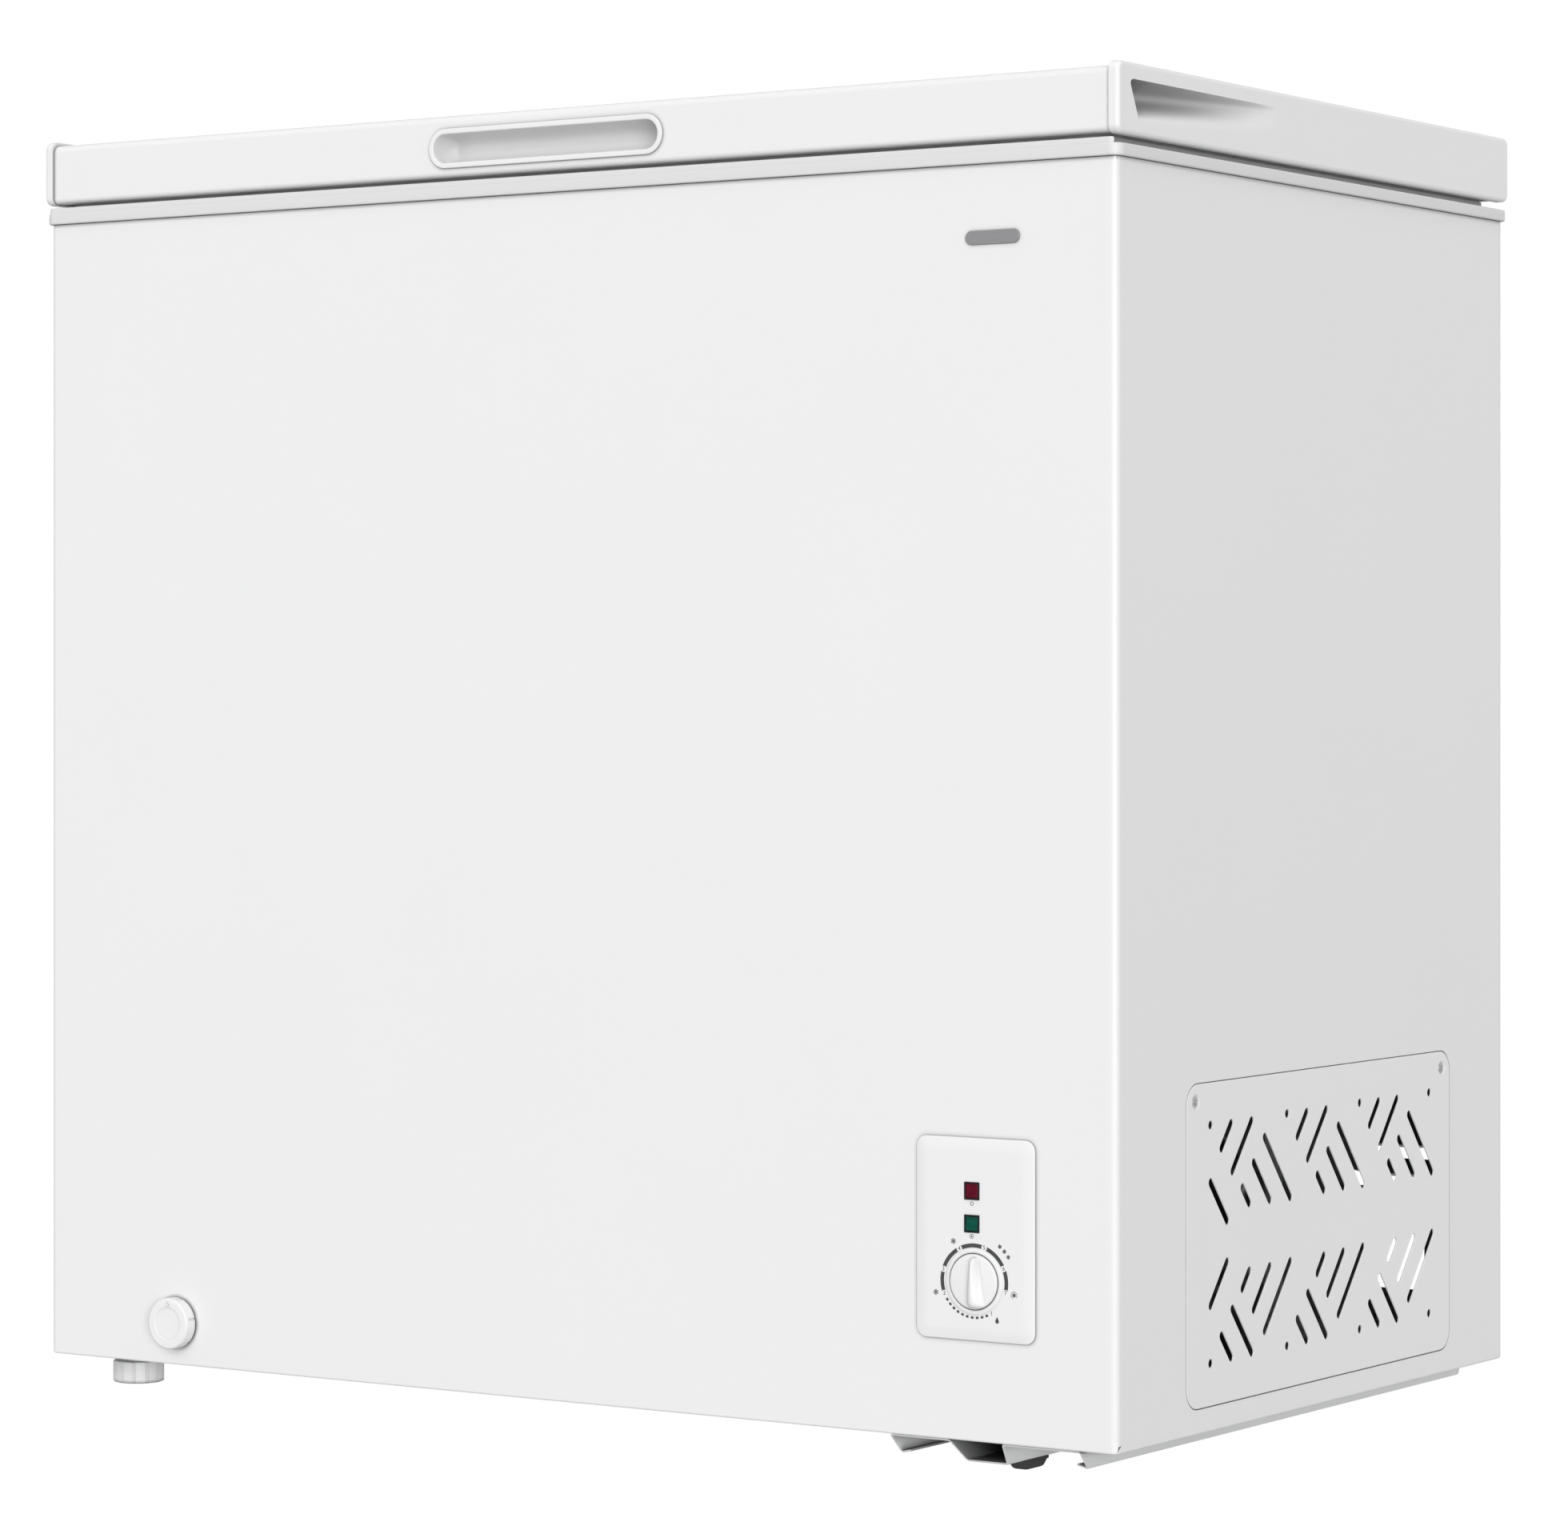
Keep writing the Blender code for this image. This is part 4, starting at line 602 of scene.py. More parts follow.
def skin_wrap():
    """The folded steel skin with its vent, panel and drain openings and its notched lower corners."""
    hem = 1.4 * MM
    profile = [(0, BODY_TOP), (0, BODY_Z + hem)]
    for angle in (0.4, 0.8, 1.2, math.pi / 2):
        profile.append((hem * (1 - math.cos(angle)), BODY_Z + hem * (1 - math.sin(angle))))
    profile.append((8 * MM, BODY_Z))
    sheet = sheet_of("skin_wrap", [on_level(skin_path(inset), z) for inset, z in profile])
    obj = thickened(sheet, SKIN, -1.0)
    half_wide, half_tall = 34 * MM, 53 * MM
    panel_low = (PANEL_X - half_wide, FRONT - 0.01, PANEL_Z - half_tall)
    panel_high = (PANEL_X + half_wide, FRONT + 0.01, PANEL_Z + half_tall)
    holes = [
        prism("vent_hole", on_side, vent_outline(VENT_PLAY), SIDE - 0.01, SIDE + 0.01),
        block("panel_hole", panel_low, panel_high),
        prism("drain_hole", on_front, circle((DRAIN_X, DRAIN_Z), 0.0105), FRONT - 0.01, FRONT + 0.02),
    ]
    nick = [(FRONT + y * MM, BODY_Z + z * MM) for y, z in ((2.0, 0.9), (3.0, 4.6), (5.6, 4.8))]
    curve = [(1, -1), (-4.2, -1), *arc((-4, 4), 4, -90, 0, 6)[1:], (1, 4)]
    heel = [(BACK + y * MM, BODY_Z + z * MM) for y, z in curve]
    for side in (-1, 1):
        for name, outline, reach in (("nick", nick, 4 * MM), ("heel", heel, 20 * MM)):
            inner, outer = side * (SIDE - reach), side * (SIDE + 4 * MM)
            holes.append(prism(f"{name}_{side}", on_side, outline, inner, outer))
    finish(cut(obj, *holes), "white_steel", "outer_shell")


def ring_loops(section, size, steps=8):
    """Level loops round the cabinet's middle from (inset, height, corner radius), all in millimetres."""
    return [on_level(shrunk((0, MID_Y), size, inset, radius, steps), z * MM) for inset, z, radius in section]


def collar():
    """The plastic frame round the mouth, with its shadow gap below, its sloping neck and its seal land.

    A thin upstand along its front fills the lower part of the gap under the lid.
    """
    low, top, seal = BODY_TOP / MM + 0.3, BODY_TOP / MM + 8.0, SEAL_Z / MM
    crest = seal + 1.4
    turn = (CORNER + collar_high.x - SIDE) / MM
    mouth = (collar_high.x - liner_high.x) / MM + 1.7
    section = [(4.6, low, turn - 3.4), (1.0, low, turn - 0.8), (0.4, low + 0.25, turn - 0.3)]
    section += [(0, low + 0.9, turn), (0, top - 1.3, turn), (0.25, top - 0.55, turn)]
    section += [(0.8, top - 0.1, turn), (1.6, top + 0.1, turn - 0.6)]
    section += [(5.2, top + 0.7, 6), (8.0, seal - 0.7, 6), (9.6, seal - 0.2, 6), (11.0, seal, 6)]
    section += [(mouth - 2.4, seal, 19), (mouth - 0.7, seal - 0.6, 17.4), (mouth - 0.1, seal - 2.2, 16.8)]
    section += [(mouth, 784, 16.8), (mouth, 770, 16.8)]
    section += [(mouth - 1.6, 770, 18.4), (mouth - 1.6, seal - 3.2, 18.4)]
    section += [(6.5, seal - 4.2, 4), (6.5, 781, 4), (4.6, 781, 5)]
    size = (collar_high.x * 2, collar_high.y - collar_low.y)
    upstand = [(0.35, top - 2.0), (0.35, crest - 0.8), (0.7, crest - 0.2), (1.3, crest)]
    upstand += [(2.4, crest), (2.9, crest - 0.5), (3.0, top - 2.0)]
    wall = loft("upstand", ring_loops([(inset, z, turn - inset) for inset, z in upstand], size), closed=True)
    wall = cut(wall, block("upstand_end", (-0.5, FRONT - 1.6 * MM, 0.7), (0.5, 0.5, 0.9)))
    obj = join(loft("collar", ring_loops(section, size), closed=True), wall)
    finish(obj, "white_plastic", "collar_frame", look=FRAME_PLASTIC)


def tub_skin():
    """The stepped tub, pressed from embossed sheet."""
    thick, turn = 1.0 * MM, 22 * MM
    x, low = liner_high.x - thick, liner_low.z + thick
    front, back, top = liner_low.y + thick, liner_high.y - thick, liner_high.z
    step_x, step_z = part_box("storage_basket")[0].x + 0.0409, 0.332
    outline = [(-x, top)] + arc((-x + turn, low + turn), turn, 180, 270, 8)
    outline += arc((step_x - turn, low + turn), turn, 270, 360, 8)
    outline += arc((step_x + turn, step_z - turn), turn, 180, 90, 8)
    outline += arc((x - turn, step_z + turn), turn, 270, 360, 8) + [(x, top)]
    shape = bmesh.new()
    face = shape.faces.new([shape.verts.new((a, front, b)) for a, b in outline])
    pushed = bmesh.ops.extrude_face_region(shape, geom=[face])
    moved = [item for item in pushed["geom"] if isinstance(item, bmesh.types.BMVert)]
    bmesh.ops.translate(shape, vec=(0, back - front, 0), verts=moved)
    ends = []
    for edge in shape.edges:
        a, b = (vert.co for vert in edge.verts)
        if abs(a.y - b.y) < 1e-6 and min(a.z, b.z) < top - 1e-4:
            ends.append(edge)
    bmesh.ops.bevel(shape, geom=ends, offset=17 * MM, segments=7, profile=0.5, affect="EDGES")
    bmesh.ops.recalc_face_normals(shape, faces=shape.faces)
    mouth = [face for face in shape.faces if min(vert.co.z for vert in face.verts) > top - 1e-4]
    bmesh.ops.delete(shape, geom=mouth, context="FACES")
    obj = thickened(piece_from("tub_skin", shape), thick, 1.0)
    centre = seen("drain_plug", "xy")[0]
    obj = cut(obj, prism("tub_drain", on_level, circle(centre, 7.4 * MM), low - 0.01, low + 0.01))
    finish(obj, "liner_metal", "inner_liner", angle=50)


def name_plate():
    low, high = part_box("badge")
    centre, size = seen("badge", "xz")
    loops = [on_front(slot(centre, size[0], size[1], steps=10), high.y)]
    for inset, rise in edge_round(0.5 * MM, high.y - low.y, 4):
        outline = slot(centre, size[0] - 2 * inset, size[1] - 2 * inset, steps=10)
        loops.append(on_front(outline, high.y - rise))
    finish(loft("name_plate", loops), "badge_metal", "badge")


# Side grille

GROUP_START, GROUP_PITCH, SLOT_WIDTH = -0.1489, 0.0991, 0.0056
HOLE_HEIGHT, HOLE_WIDTH = 0.0726, 0.0057
GROUP_SLOTS = (
    # along from the group's first hole, height above the middle, length, angle
    (0.0201, 0.0645, 0.0245, 50),
    (0.0403, 0.0569, 0.0439, 50),
    (0.0865, 0.0401, 0.0579, -50),
    (0.0658, 0.0331, 0.0380, -50),
    (0.0452, 0.0260, 0.0190, -50),
)
FIRST_SLOT = (0.0107, 0.0251, 0.0381, -50)
SCREW_PLACES = ((-0.1674, 0.0878), (0.1667, 0.0875))
SCREW_DISH = ((0.0, 0.6), (5.6, 0.6), (5.0, 0.0), (4.2, -0.45), (3.7, -0.95), (0.0, -0.95))
SCREW_HEAD = (
    (0.0, 0.85), (1.2, 0.82), (2.2, 0.66), (2.9, 0.36), (3.1, 0.0), (1.4, 0.0), (1.4, -8.0), (0.0, -9.5),
)


def vent_slots():
    """Every slot and hole of the grille as (centre, length, width, angle)."""
    found = []
    for group in range(3):
        start = GROUP_START + GROUP_PITCH * group
        slots = GROUP_SLOTS + ((FIRST_SLOT,) if group == 0 else ())
        for side in (1, -1):
            for along, height, length, angle in slots:
                found.append(((start + along, side * height), length, SLOT_WIDTH, side * angle))
    for hole in range(4):
        for side in (1, -1):
            centre = (GROUP_START + GROUP_PITCH * hole, side * HOLE_HEIGHT)
            found.append((centre, HOLE_WIDTH, SLOT_WIDTH, 0))
    return found


def grille():
    """The slotted plate, level with the skin, on a frame whose flange lies behind the skin."""
    face, behind = VENT_FACE, SIDE - SKIN - 0.3 * MM
    loops = [on_side(vent_outline(0), face - 2.2 * MM)]
    for inset, rise in edge_round(0.9 * MM, 0.7 * MM, 4):
        loops.append(on_side(vent_outline(-inset), face - 0.7 * MM + rise))
    frame_plate = prism("grille_frame", on_side, vent_outline(VENT_FLANGE), behind - 1.2 * MM, behind)
    obj = join(loft("grille", loops), frame_plate)
    opening = shrunk((VENT_Y, VENT_Z), VENT_SIZE, 15, 4, 5)
    obj = cut(obj, prism("grille_pocket", on_side, opening, behind - 9 * MM, face - 1.0 * MM))
    cutters = []
    for i, (place, length, width, angle) in enumerate(vent_slots()):
        loops = []
        for grow, rise in ((0.35, 0.5), (0.18, 0.0), (0.04, -0.15), (0.0, -0.3), (0.0, -4.0)):
            middle = (VENT_Y + place[0], VENT_Z + place[1])
            outline = slot(middle, length + 2 * grow * MM, width + 2 * grow * MM, angle, 5)
            loops.append(on_side(outline, face + rise * MM))
        cutters.append(loft(f"slot_{i}", loops))
    for i, (along, height) in enumerate(SCREW_PLACES):
        cutters.append(turned(f"dish_{i}", SCREW_DISH, (face, VENT_Y + along, VENT_Z + height), "right", 32))
    obj = cut(obj, grouped("grille_openings", cutters))
    finish(obj, "white_plastic", "vent_grille", angle=28)
    for i, (along, height) in enumerate(SCREW_PLACES):
        grille_screw(f"grille_screw_{i + 1}", f"vent_screw_{i + 1}", VENT_Y + along, VENT_Z + height)


def grille_screw(name, stands_for, y, z):
    """A pan-head screw with a crossed recess."""
    x = VENT_FACE - 0.95 * MM
    obj = turned(name, SCREW_HEAD, (x, y, z), "right", 32)
    bars = []
    for i, (wide, tall) in enumerate(((1.75, 0.32), (0.32, 1.75))):
        low, high = (x + 0.25 * MM, y - wide * MM, z - tall * MM), (x + 2 * MM, y + wide * MM, z + tall * MM)
        bars.append(block(f"{name}_bar_{i}", low, high))
    finish(cut(obj, *bars), "zinc_steel", stands_for, look=SCREW)


# Control panel

PANEL_EDGE = (
    # inset, rise above the skin
    (0.5, 0.25), (0.0, 0.3), (0.0, 0.75), (0.15, 1.1), (0.5, 1.35), (1.1, 1.5), (2.6, 1.79), (4.4, 2.08),
    (6.0, 2.3), (7.0, 2.39), (7.8, 2.4),
)
KNOB_RING = (
    (0.0, 0.9), (18.9, 0.9), (20.4, 1.8), (20.3, 2.4), (19.9, 2.75), (19.2, 3.05), (18.4, 3.2), (17.7, 3.15),
    (17.2, 2.85), (17.05, 1.3), (0.0, 1.3),
)


def control_plate():
    """The cushion-edged plate with a raised ring round the knob."""
    loops = []
    for inset, rise in PANEL_EDGE:
        outline = shrunk((PANEL_X, PANEL_Z), PANEL_SIZE, inset, 6.8 - inset * 0.72, 10)
        loops.append(on_front(outline, FRONT - rise * MM))
    axis = (PANEL_X, KNOB_Z)
    seat = prism("ring_seat", on_front, circle(axis, 18.6 * MM, 96), FRONT - 1.2 * MM, FRONT - 9.0 * MM)
    obj = cut(loft("control_plate", loops), seat)
    obj = join(obj, turned("panel_ring", KNOB_RING, (PANEL_X, FRONT, KNOB_Z), "front", 96))
    holes = [prism("shaft_hole", on_front, circle(axis, 4.5 * MM), FRONT - 0.02, FRONT + 0.02)]
    for lamp in ("power_lamp_bezel", "run_lamp_bezel"):
        low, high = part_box(lamp)
        play = 0.1 * MM
        hole_low = (low.x - play, FRONT - 0.01, low.z - play)
        hole_high = (high.x + play, FRONT + 0.01, high.z + play)
        holes.append(block(lamp + "_hole", hole_low, hole_high))
    finish(cut(obj, *holes), "white_plastic", "control_panel", angle=30)


def lamps():
    """Two small windows, each in its black frame."""
    face = PANEL_FACE - 0.5 * MM
    for name, glass in (("power_lamp", "red_lens"), ("run_lamp", "green_lens")):
        centre, (side, _) = seen(name + "_bezel", "xz")
        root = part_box(name + "_bezel")[1].y
        frame_edge = [(0, root), (0, face + 0.4 * MM), (0.12, face + 0.12 * MM), (0.4, face)]
        frame_edge += [(0.8, face), (1.0, face + 0.2 * MM), (1.0, root)]
        loops = [on_front(shrunk(centre, (side, side), inset, 0.5, 3), y) for inset, y in frame_edge]
        finish(loft(name + "_frame", loops, closed=True), "black_plastic", name + "_bezel")
        pane = side - 2.1 * MM
        loops = [on_front(shrunk(centre, (pane, pane), 0, 0.5, 3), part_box(name)[1].y)]
        for inset, rise in edge_round(0.7, 0.35, 3):
            loops.append(on_front(shrunk(centre, (pane, pane), inset, 0.5, 3), face + (0.7 - rise) * MM))
        finish(loft(name + "_glass", loops), glass, name)


INK_THICK, INK_SINK = 0.05 * MM, 0.02 * MM
BAND = (20.5 * MM, 22.9 * MM)
BAND_MIDDLE = sum(BAND) / 2
DIGITS = ((1, -212.5), (2, -112.0), (3, -73.0), (4, -27.6), (5, 18.0), (6, 65.7), (7, 104.6))
DIGIT_ROOM = 1.95 * MM
DIAL_STRETCH = 1.04


def dial_point(radius, angle, stretch=DIAL_STRETCH):
    """A point round the knob's axis: angles run clockwise from the top, and the print is a little wide."""
    turn = math.radians(angle)
    return PANEL_X + stretch * radius * math.sin(turn), KNOB_Z + radius * math.cos(turn)


def inked(name, outline):
    return prism(name, on_front, outline, PANEL_FACE + INK_SINK, PANEL_FACE - INK_THICK)


def scale_band(name, start, end):
    """A stretch of the scale, hollowed at both ends round the numbers."""
    radii = [BAND[0] + (BAND[1] - BAND[0]) * i / 6 for i in range(7)]
    steps = max(3, int(abs(end - start) / 4))

    def clear(radius):
        share = (radius**2 + BAND_MIDDLE**2 - DIGIT_ROOM**2) / (2 * radius * BAND_MIDDLE)
        return math.degrees(math.acos(min(1.0, share)))

    def run(radius, first, last):
        return [dial_point(radius, first + (last - first) * i / steps) for i in range(steps + 1)]

    line = run(BAND[1], start + clear(BAND[1]), end - clear(BAND[1]))
    line += [dial_point(radius, end - clear(radius)) for radius in reversed(radii)][1:]
    line += run(BAND[0], end - clear(BAND[0]), start + clear(BAND[0]))[1:]
    line += [dial_point(radius, start + clear(radius)) for radius in radii][1:-1]
    return inked(name, line)


def scale_dot(name, angle):
    """A short dash of the mild range."""
    steps, spread, half = 3, 2.3, 0.7 * MM
    angles = [angle - spread + 2 * spread * i / steps for i in range(steps + 1)]
    outline = [dial_point(BAND_MIDDLE + half, a) for a in angles]
    return inked(name, outline + [dial_point(BAND_MIDDLE - half, a) for a in reversed(angles)])


def stroke(name, start, end, width):
    """A straight stroke of ink between two points of the panel."""
    a, b = Vector(start), Vector(end)
    run = b - a
    across = Vector((-run.y, run.x)).normalized() * width / 2
    return inked(name, [tuple(a + across), tuple(b + across), tuple(b - across), tuple(a - across)])


def snowflake(name, centre, size):
    made = []
    for arm in range(6):
        angle = math.radians(90 + 60 * arm)
        way = Vector((math.cos(angle), math.sin(angle)))
        made.append(stroke(f"{name}_arm_{arm}", centre, Vector(centre) + way * size / 2, 0.42 * MM))
        root = Vector(centre) + way * size * 0.28
        for turn in (-50, 50):
            twig = Vector((math.cos(angle + math.radians(turn)), math.sin(angle + math.radians(turn))))
            made.append(stroke(f"{name}_twig_{arm}_{turn}", root, root + twig * size * 0.17, 0.34 * MM))
    return made


def ink_ring(name, centre, radius, start, end, width):
    outer, inner = (arc(centre, edge, start, end, 16) for edge in (radius + width / 2, radius - width / 2))
    return inked(name, outer + inner[::-1])


def digit(name, number, centre, size):
    data = bpy.data.curves.new(name, "FONT")
    data.body = str(number)
    data.size = size
    data.align_x = "CENTER"
    data.align_y = "CENTER"
    data.extrude = INK_THICK / 2
    data.resolution_u = 4
    obj = placed(name, data)
    obj.location = (centre[0], PANEL_FACE - INK_THICK / 2 + 0.01 * MM, centre[1])
    obj.rotation_euler = (math.radians(90), 0, 0)
    return applied(obj)


def lamp_signs():
    """A power sign under the upper lamp and a running mark in a ring under the lower one."""
    signs = [(seen(lamp, "xz")[0][0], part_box(lamp)[0].z - 3.5 * MM) for lamp in ("power_lamp", "run_lamp")]
    power, run = signs
    mark = [(run[0] + x * MM, run[1] + z * MM) for x, z in ((-0.45, 0.65), (0.7, 0.0), (-0.45, -0.65))]
    return [
        ink_ring("power_ring", power, 1.15 * MM, 120, 420, 0.30 * MM),
        stroke("power_bar", power, (power[0], power[1] + 1.6 * MM), 0.30 * MM),
        ink_ring("run_ring", run, 1.25 * MM, 0, 359, 0.26 * MM),
        inked("run_mark", mark),
    ]


def dial_print():
    """The printed scale: a band with a gap at each number, dots for the mild range and small pictograms."""
    made = []
    stops = [angle for number, angle in DIGITS if number > 1]
    for i, (start, end) in enumerate(zip(stops, stops[1:])):
        made.append(scale_band(f"band_{i}", start, end))
    for i in range(10):
        made.append(scale_dot(f"dot_{i}", -123.0 - 8.9 * i))
    for number, angle in DIGITS:
        made.append(digit(f"digit_{number}", number, dial_point(BAND_MIDDLE + 0.1 * MM, angle), 3.5 * MM))
    made += snowflake("flake_2", dial_point(27.2 * MM, -107.0), 3.6 * MM)
    made += snowflake("flake_4", dial_point(27.4 * MM, -31.0), 3.6 * MM)
    coldest = dial_point(27.6 * MM, 103.5)
    made += snowflake("flake_7", coldest, 2.7 * MM)
    made.append(ink_ring("flake_ring", coldest, 2.05 * MM, -40, 250, 0.26 * MM))
    for i, angle in enumerate((38.0, 46.5, 55.0)):
        made += snowflake(f"cold_{i}", dial_point(28.0 * MM, angle), 2.7 * MM)
    drop = dial_point(27.6 * MM, 146.0)
    made.append(inked("mild_drop", arc(drop, 1.25 * MM, -200, 20, 14) + [(drop[0], drop[1] + 2.7 * MM)]))
    finish(grouped("dial_print", made + lamp_signs()), "black_plastic", look=INK)


def spindle():
    """The thermostat's shaft, ending inside the knob."""
    low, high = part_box("thermostat_shaft")
    radius, root, tip = (high.x - low.x) / 2 / MM, (FRONT - high.y) / MM, 3.4
    profile = ((0, root), (radius, root), (radius, tip - 0.4), (radius - 0.4, tip), (0, tip))
    obj = turned("spindle", profile, (PANEL_X, FRONT, KNOB_Z), "front", 24)
    finish(obj, "zinc_steel", "thermostat_shaft", "control_knob")


def knob_height(u, v, radius):
    """Distance of the knob's face in front of the cabinet at a point of its disc, in millimetres.

    The grip is narrow at the top and broad at the bottom. Its left flank is steep, and its right one runs out
    into the face.
    """
    edge = max(0.0, (radius - 15.2) / 1.6)
    base = 3.9 + 0.9 * (1 - (radius / KNOB_REACH) ** 2) - 1.2 * (1 - math.sqrt(max(0.0, 1 - edge * edge)))
    share = min(1.0, max(0.0, (14.2 - v) / 28.4))
    left, right = 1.5 + 2.6 * share**0.8, 2.2 + 5.6 * share**1.1
    u -= 1.4
    across = u / left if u < 0 else u / right
    if u < 0:
        wall = max(0.0, 1 - across * across) ** 0.55
    else:
        wall = max(0.0, 1 - abs(across)) ** 2 * (1 + 2 * abs(across))
    ends = min(1.0, max(0.0, (14.6 - v) / 2.6), max(0.0, (v + 15.6) / 4.0))
    return base + 4.6 * wall * math.sqrt(max(0.0, 1 - (1 - ends) ** 2))


KNOB_REACH = 16.8


def dial_knob():
    """The knob: a domed disc that carries a tapered grip, modelled as one relief, with a skirt and a back."""
    rings, steps = 44, 144
    shape = bmesh.new()
    centre = shape.verts.new((PANEL_X, FRONT - knob_height(0, 0, 0) * MM, KNOB_Z))
    rows = []
    for ring in range(1, rings + 1):
        radius = KNOB_REACH * math.sin(math.pi / 2 * ring / rings) ** 0.9
        row = []
        for step in range(steps):
            angle = 2 * math.pi * step / steps
            u, v = radius * math.sin(angle), radius * math.cos(angle)
            y = FRONT - knob_height(u, v, radius) * MM
            row.append(shape.verts.new((PANEL_X + u * MM, y, KNOB_Z + v * MM)))
        rows.append(row)
    for height, radius in ((2.4, 16.85), (1.7, 16.85), (1.7, 5.0)):
        outline = [dial_point(radius * MM, 360 * step / steps, 1.0) for step in range(steps)]
        rows.append([shape.verts.new(point) for point in on_front(outline, FRONT - height * MM)])
    for i in range(steps):
        j = (i + 1) % steps
        shape.faces.new((centre, rows[0][i], rows[0][j]))
        for a, b in zip(rows, rows[1:]):
            shape.faces.new((a[i], a[j], b[j], b[i]))
    shape.faces.new(rows[-1])
    finish(skinned("dial_knob", shape), "white_plastic", "knob", "control_knob", angle=46)


# Drain cap and feet

CAP_PROFILE = (
    (0.0, 9.5), (10.2, 9.5), (10.8, 9.7), (11.2, 10.0), (15.4, 10.0), (16.2, 9.8), (16.75, 9.3), (17.0, 8.5),
    (17.0, 1.4), (16.7, 0.9), (14.9, 0.9), (14.9, 7.0), (0.0, 7.0),
)


def outlet_cap():
    """The screw cap: a stepped face with a small pointer and a notched skirt."""
    obj = turned("outlet_cap", CAP_PROFILE, (DRAIN_X, FRONT, DRAIN_Z), "front", 96)
    notches = []
    for i in range(6):
        centre = arc((DRAIN_X, DRAIN_Z), 17.6 * MM, 12 - 60 * i, 12 - 60 * i, 1)[0]
        depths = ((1.2, 0.4), (1.2, 6.6), (0.7, 7.6))
        loops = [on_front(circle(centre, radius * MM, 16), FRONT - depth * MM) for radius, depth in depths]
        notches.append(loft(f"cap_notch_{i}", loops))
    obj = cut(obj, grouped("cap_notches", notches))
    mark = [(DRAIN_X + x * MM, DRAIN_Z + z * MM) for x, z in ((-1.5, 12.0), (1.5, 12.0), (0.0, 14.6))]
    obj = join(obj, prism("cap_mark", on_front, mark, FRONT - 9.6 * MM, FRONT - 10.35 * MM))
    finish(obj, "white_plastic", "drain_cap", "outlet_cap", angle=30)


def ribbed_outline(place, radius, rib, count=12):
    """A circle with slim upright ribs."""
    found = []
    offsets = ((-11, 0), (-6, 0), (-2.0, 0), (-1.3, rib), (1.3, rib), (2.0, 0), (6, 0), (11, 0))
    for i in range(count):
        middle = 360 * i / count
        for offset, grow in offsets:
            found += arc(place, (radius + grow) * MM, middle + offset, middle + offset, 1)[:1]
    return found


def feet():
    """The adjustable feet: a ribbed pad on a threaded stem."""
    pad = ((16.2, 0.0, 0.0), (16.9, 0.35, 0.25), (17.1, 1.0, 0.45), (17.1, 13.4, 0.45), (16.8, 14.2, 0.3))
    pad += ((16.2, 14.5, 0.0), (15.2, 14.4, 0), (14.6, 13.6, 0))
    stem = ((8.2, 13.4, 0), (7.6, 15.6, 0), (7.2, 16.6, 0), (4.4, 16.9, 0), (4.2, 18.0, 0), (4.2, 39.5, 0))
    for name, stands_for in (("front_foot", "foot_front_left"), ("rear_foot", "foot_rear_left")):
        place = seen(stands_for, "xy")[0]
        loops = [on_level(ribbed_outline(place, radius, rib), z * MM) for radius, z, rib in pad + stem]
        finish(loft(name + "_pad", loops), "white_plastic", stands_for, name, angle=30)


# Lid


def cover_sheet():
    """The folded steel cover of the lid."""
    low, top = cover_low.z, cover_high.z
    bend, turn = 5.0 * MM, 3.5 * MM
    profile = [(LID_FRONT + 8.5 * MM, low)]
    profile += arc((LID_FRONT + turn, low + turn), turn, -90, -180, 8)
    profile += arc((LID_FRONT + bend, top - bend), bend, 180, 90, 10)
    profile += arc((LID_BACK - bend, top - bend), bend, 90, 0, 10)
    profile += arc((LID_BACK - turn, low + turn), turn, 0, -90, 8)
    profile += [(LID_BACK - 8.5 * MM, low)]
    half = CAP_INNER - 0.5 * MM
    obj = thickened(sheet_of("cover_sheet", [on_side(profile, x) for x in (-half, half)]), 0.7 * MM, 1.0)
    opening = slot((0, HANDLE_Z), 0.1802, 0.0231, steps=14)
    hole = prism("cover_hole", on_front, opening, LID_FRONT - 0.01, LID_FRONT + 0.02)
    finish(cut(obj, hole), "white_steel", "lid_outer_panel", "lid", angle=30)


def hand_grip():
    """The moulded grip: a soft-edged bezel and a cup with a rounded floor, as one shell."""
    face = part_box("handle_insert")[0].y
    lip, wall, reach, shoulder, deep = 3.5, 1.3, 7.6, 3.0, 18.6

    def ring_at(inset, depth):
        length, height = (side - 2 * inset * MM for side in HANDLE_SIZE)
        return on_front(slot((0, HANDLE_Z), length, height, steps=18), face + depth * MM)

    def cup(edge, floor_depth, first, steps):
        """Loops from the cup's shoulder down to its floor."""
        found = []
        for step in range(first, steps + 1):
            angle = math.pi / 2 * step / steps
            depth = shoulder + (floor_depth - shoulder) * math.sin(angle)
            found.append(ring_at(edge + reach * (1 - math.cos(angle)), depth))
        return found

    bezel = ((1.6, 1.6), (0.2, 1.5), (0.0, 1.2), (0.0, 0.5), (0.3, 0.12), (0.7, 0.0), (lip - 0.7, 0.0))
    bezel += ((lip - 0.2, 0.15), (lip, 0.6))
    outside = [ring_at(lip - wall, 1.7)] + cup(lip - wall, deep + wall, 0, 8)
    loops = outside[::-1] + [ring_at(inset, depth) for inset, depth in bezel] + cup(lip, deep, 1, 10)
    # The grip takes the white plastic with painted shade in its cup.
    finish(loft("hand_grip", loops), "white_plastic", "handle_insert", "lid", look=CUP_SHADE_PLASTIC, angle=50)


SCOOP_TOP, SCOOP_LOW, SCOOP_DEPTH = 0.8350, 0.8090, 16.5 * MM
SCOOP_NEAR, SCOOP_FOOT, SCOOP_TIP = 9.9 * MM, 22.4 * MM, 193.0 * MM


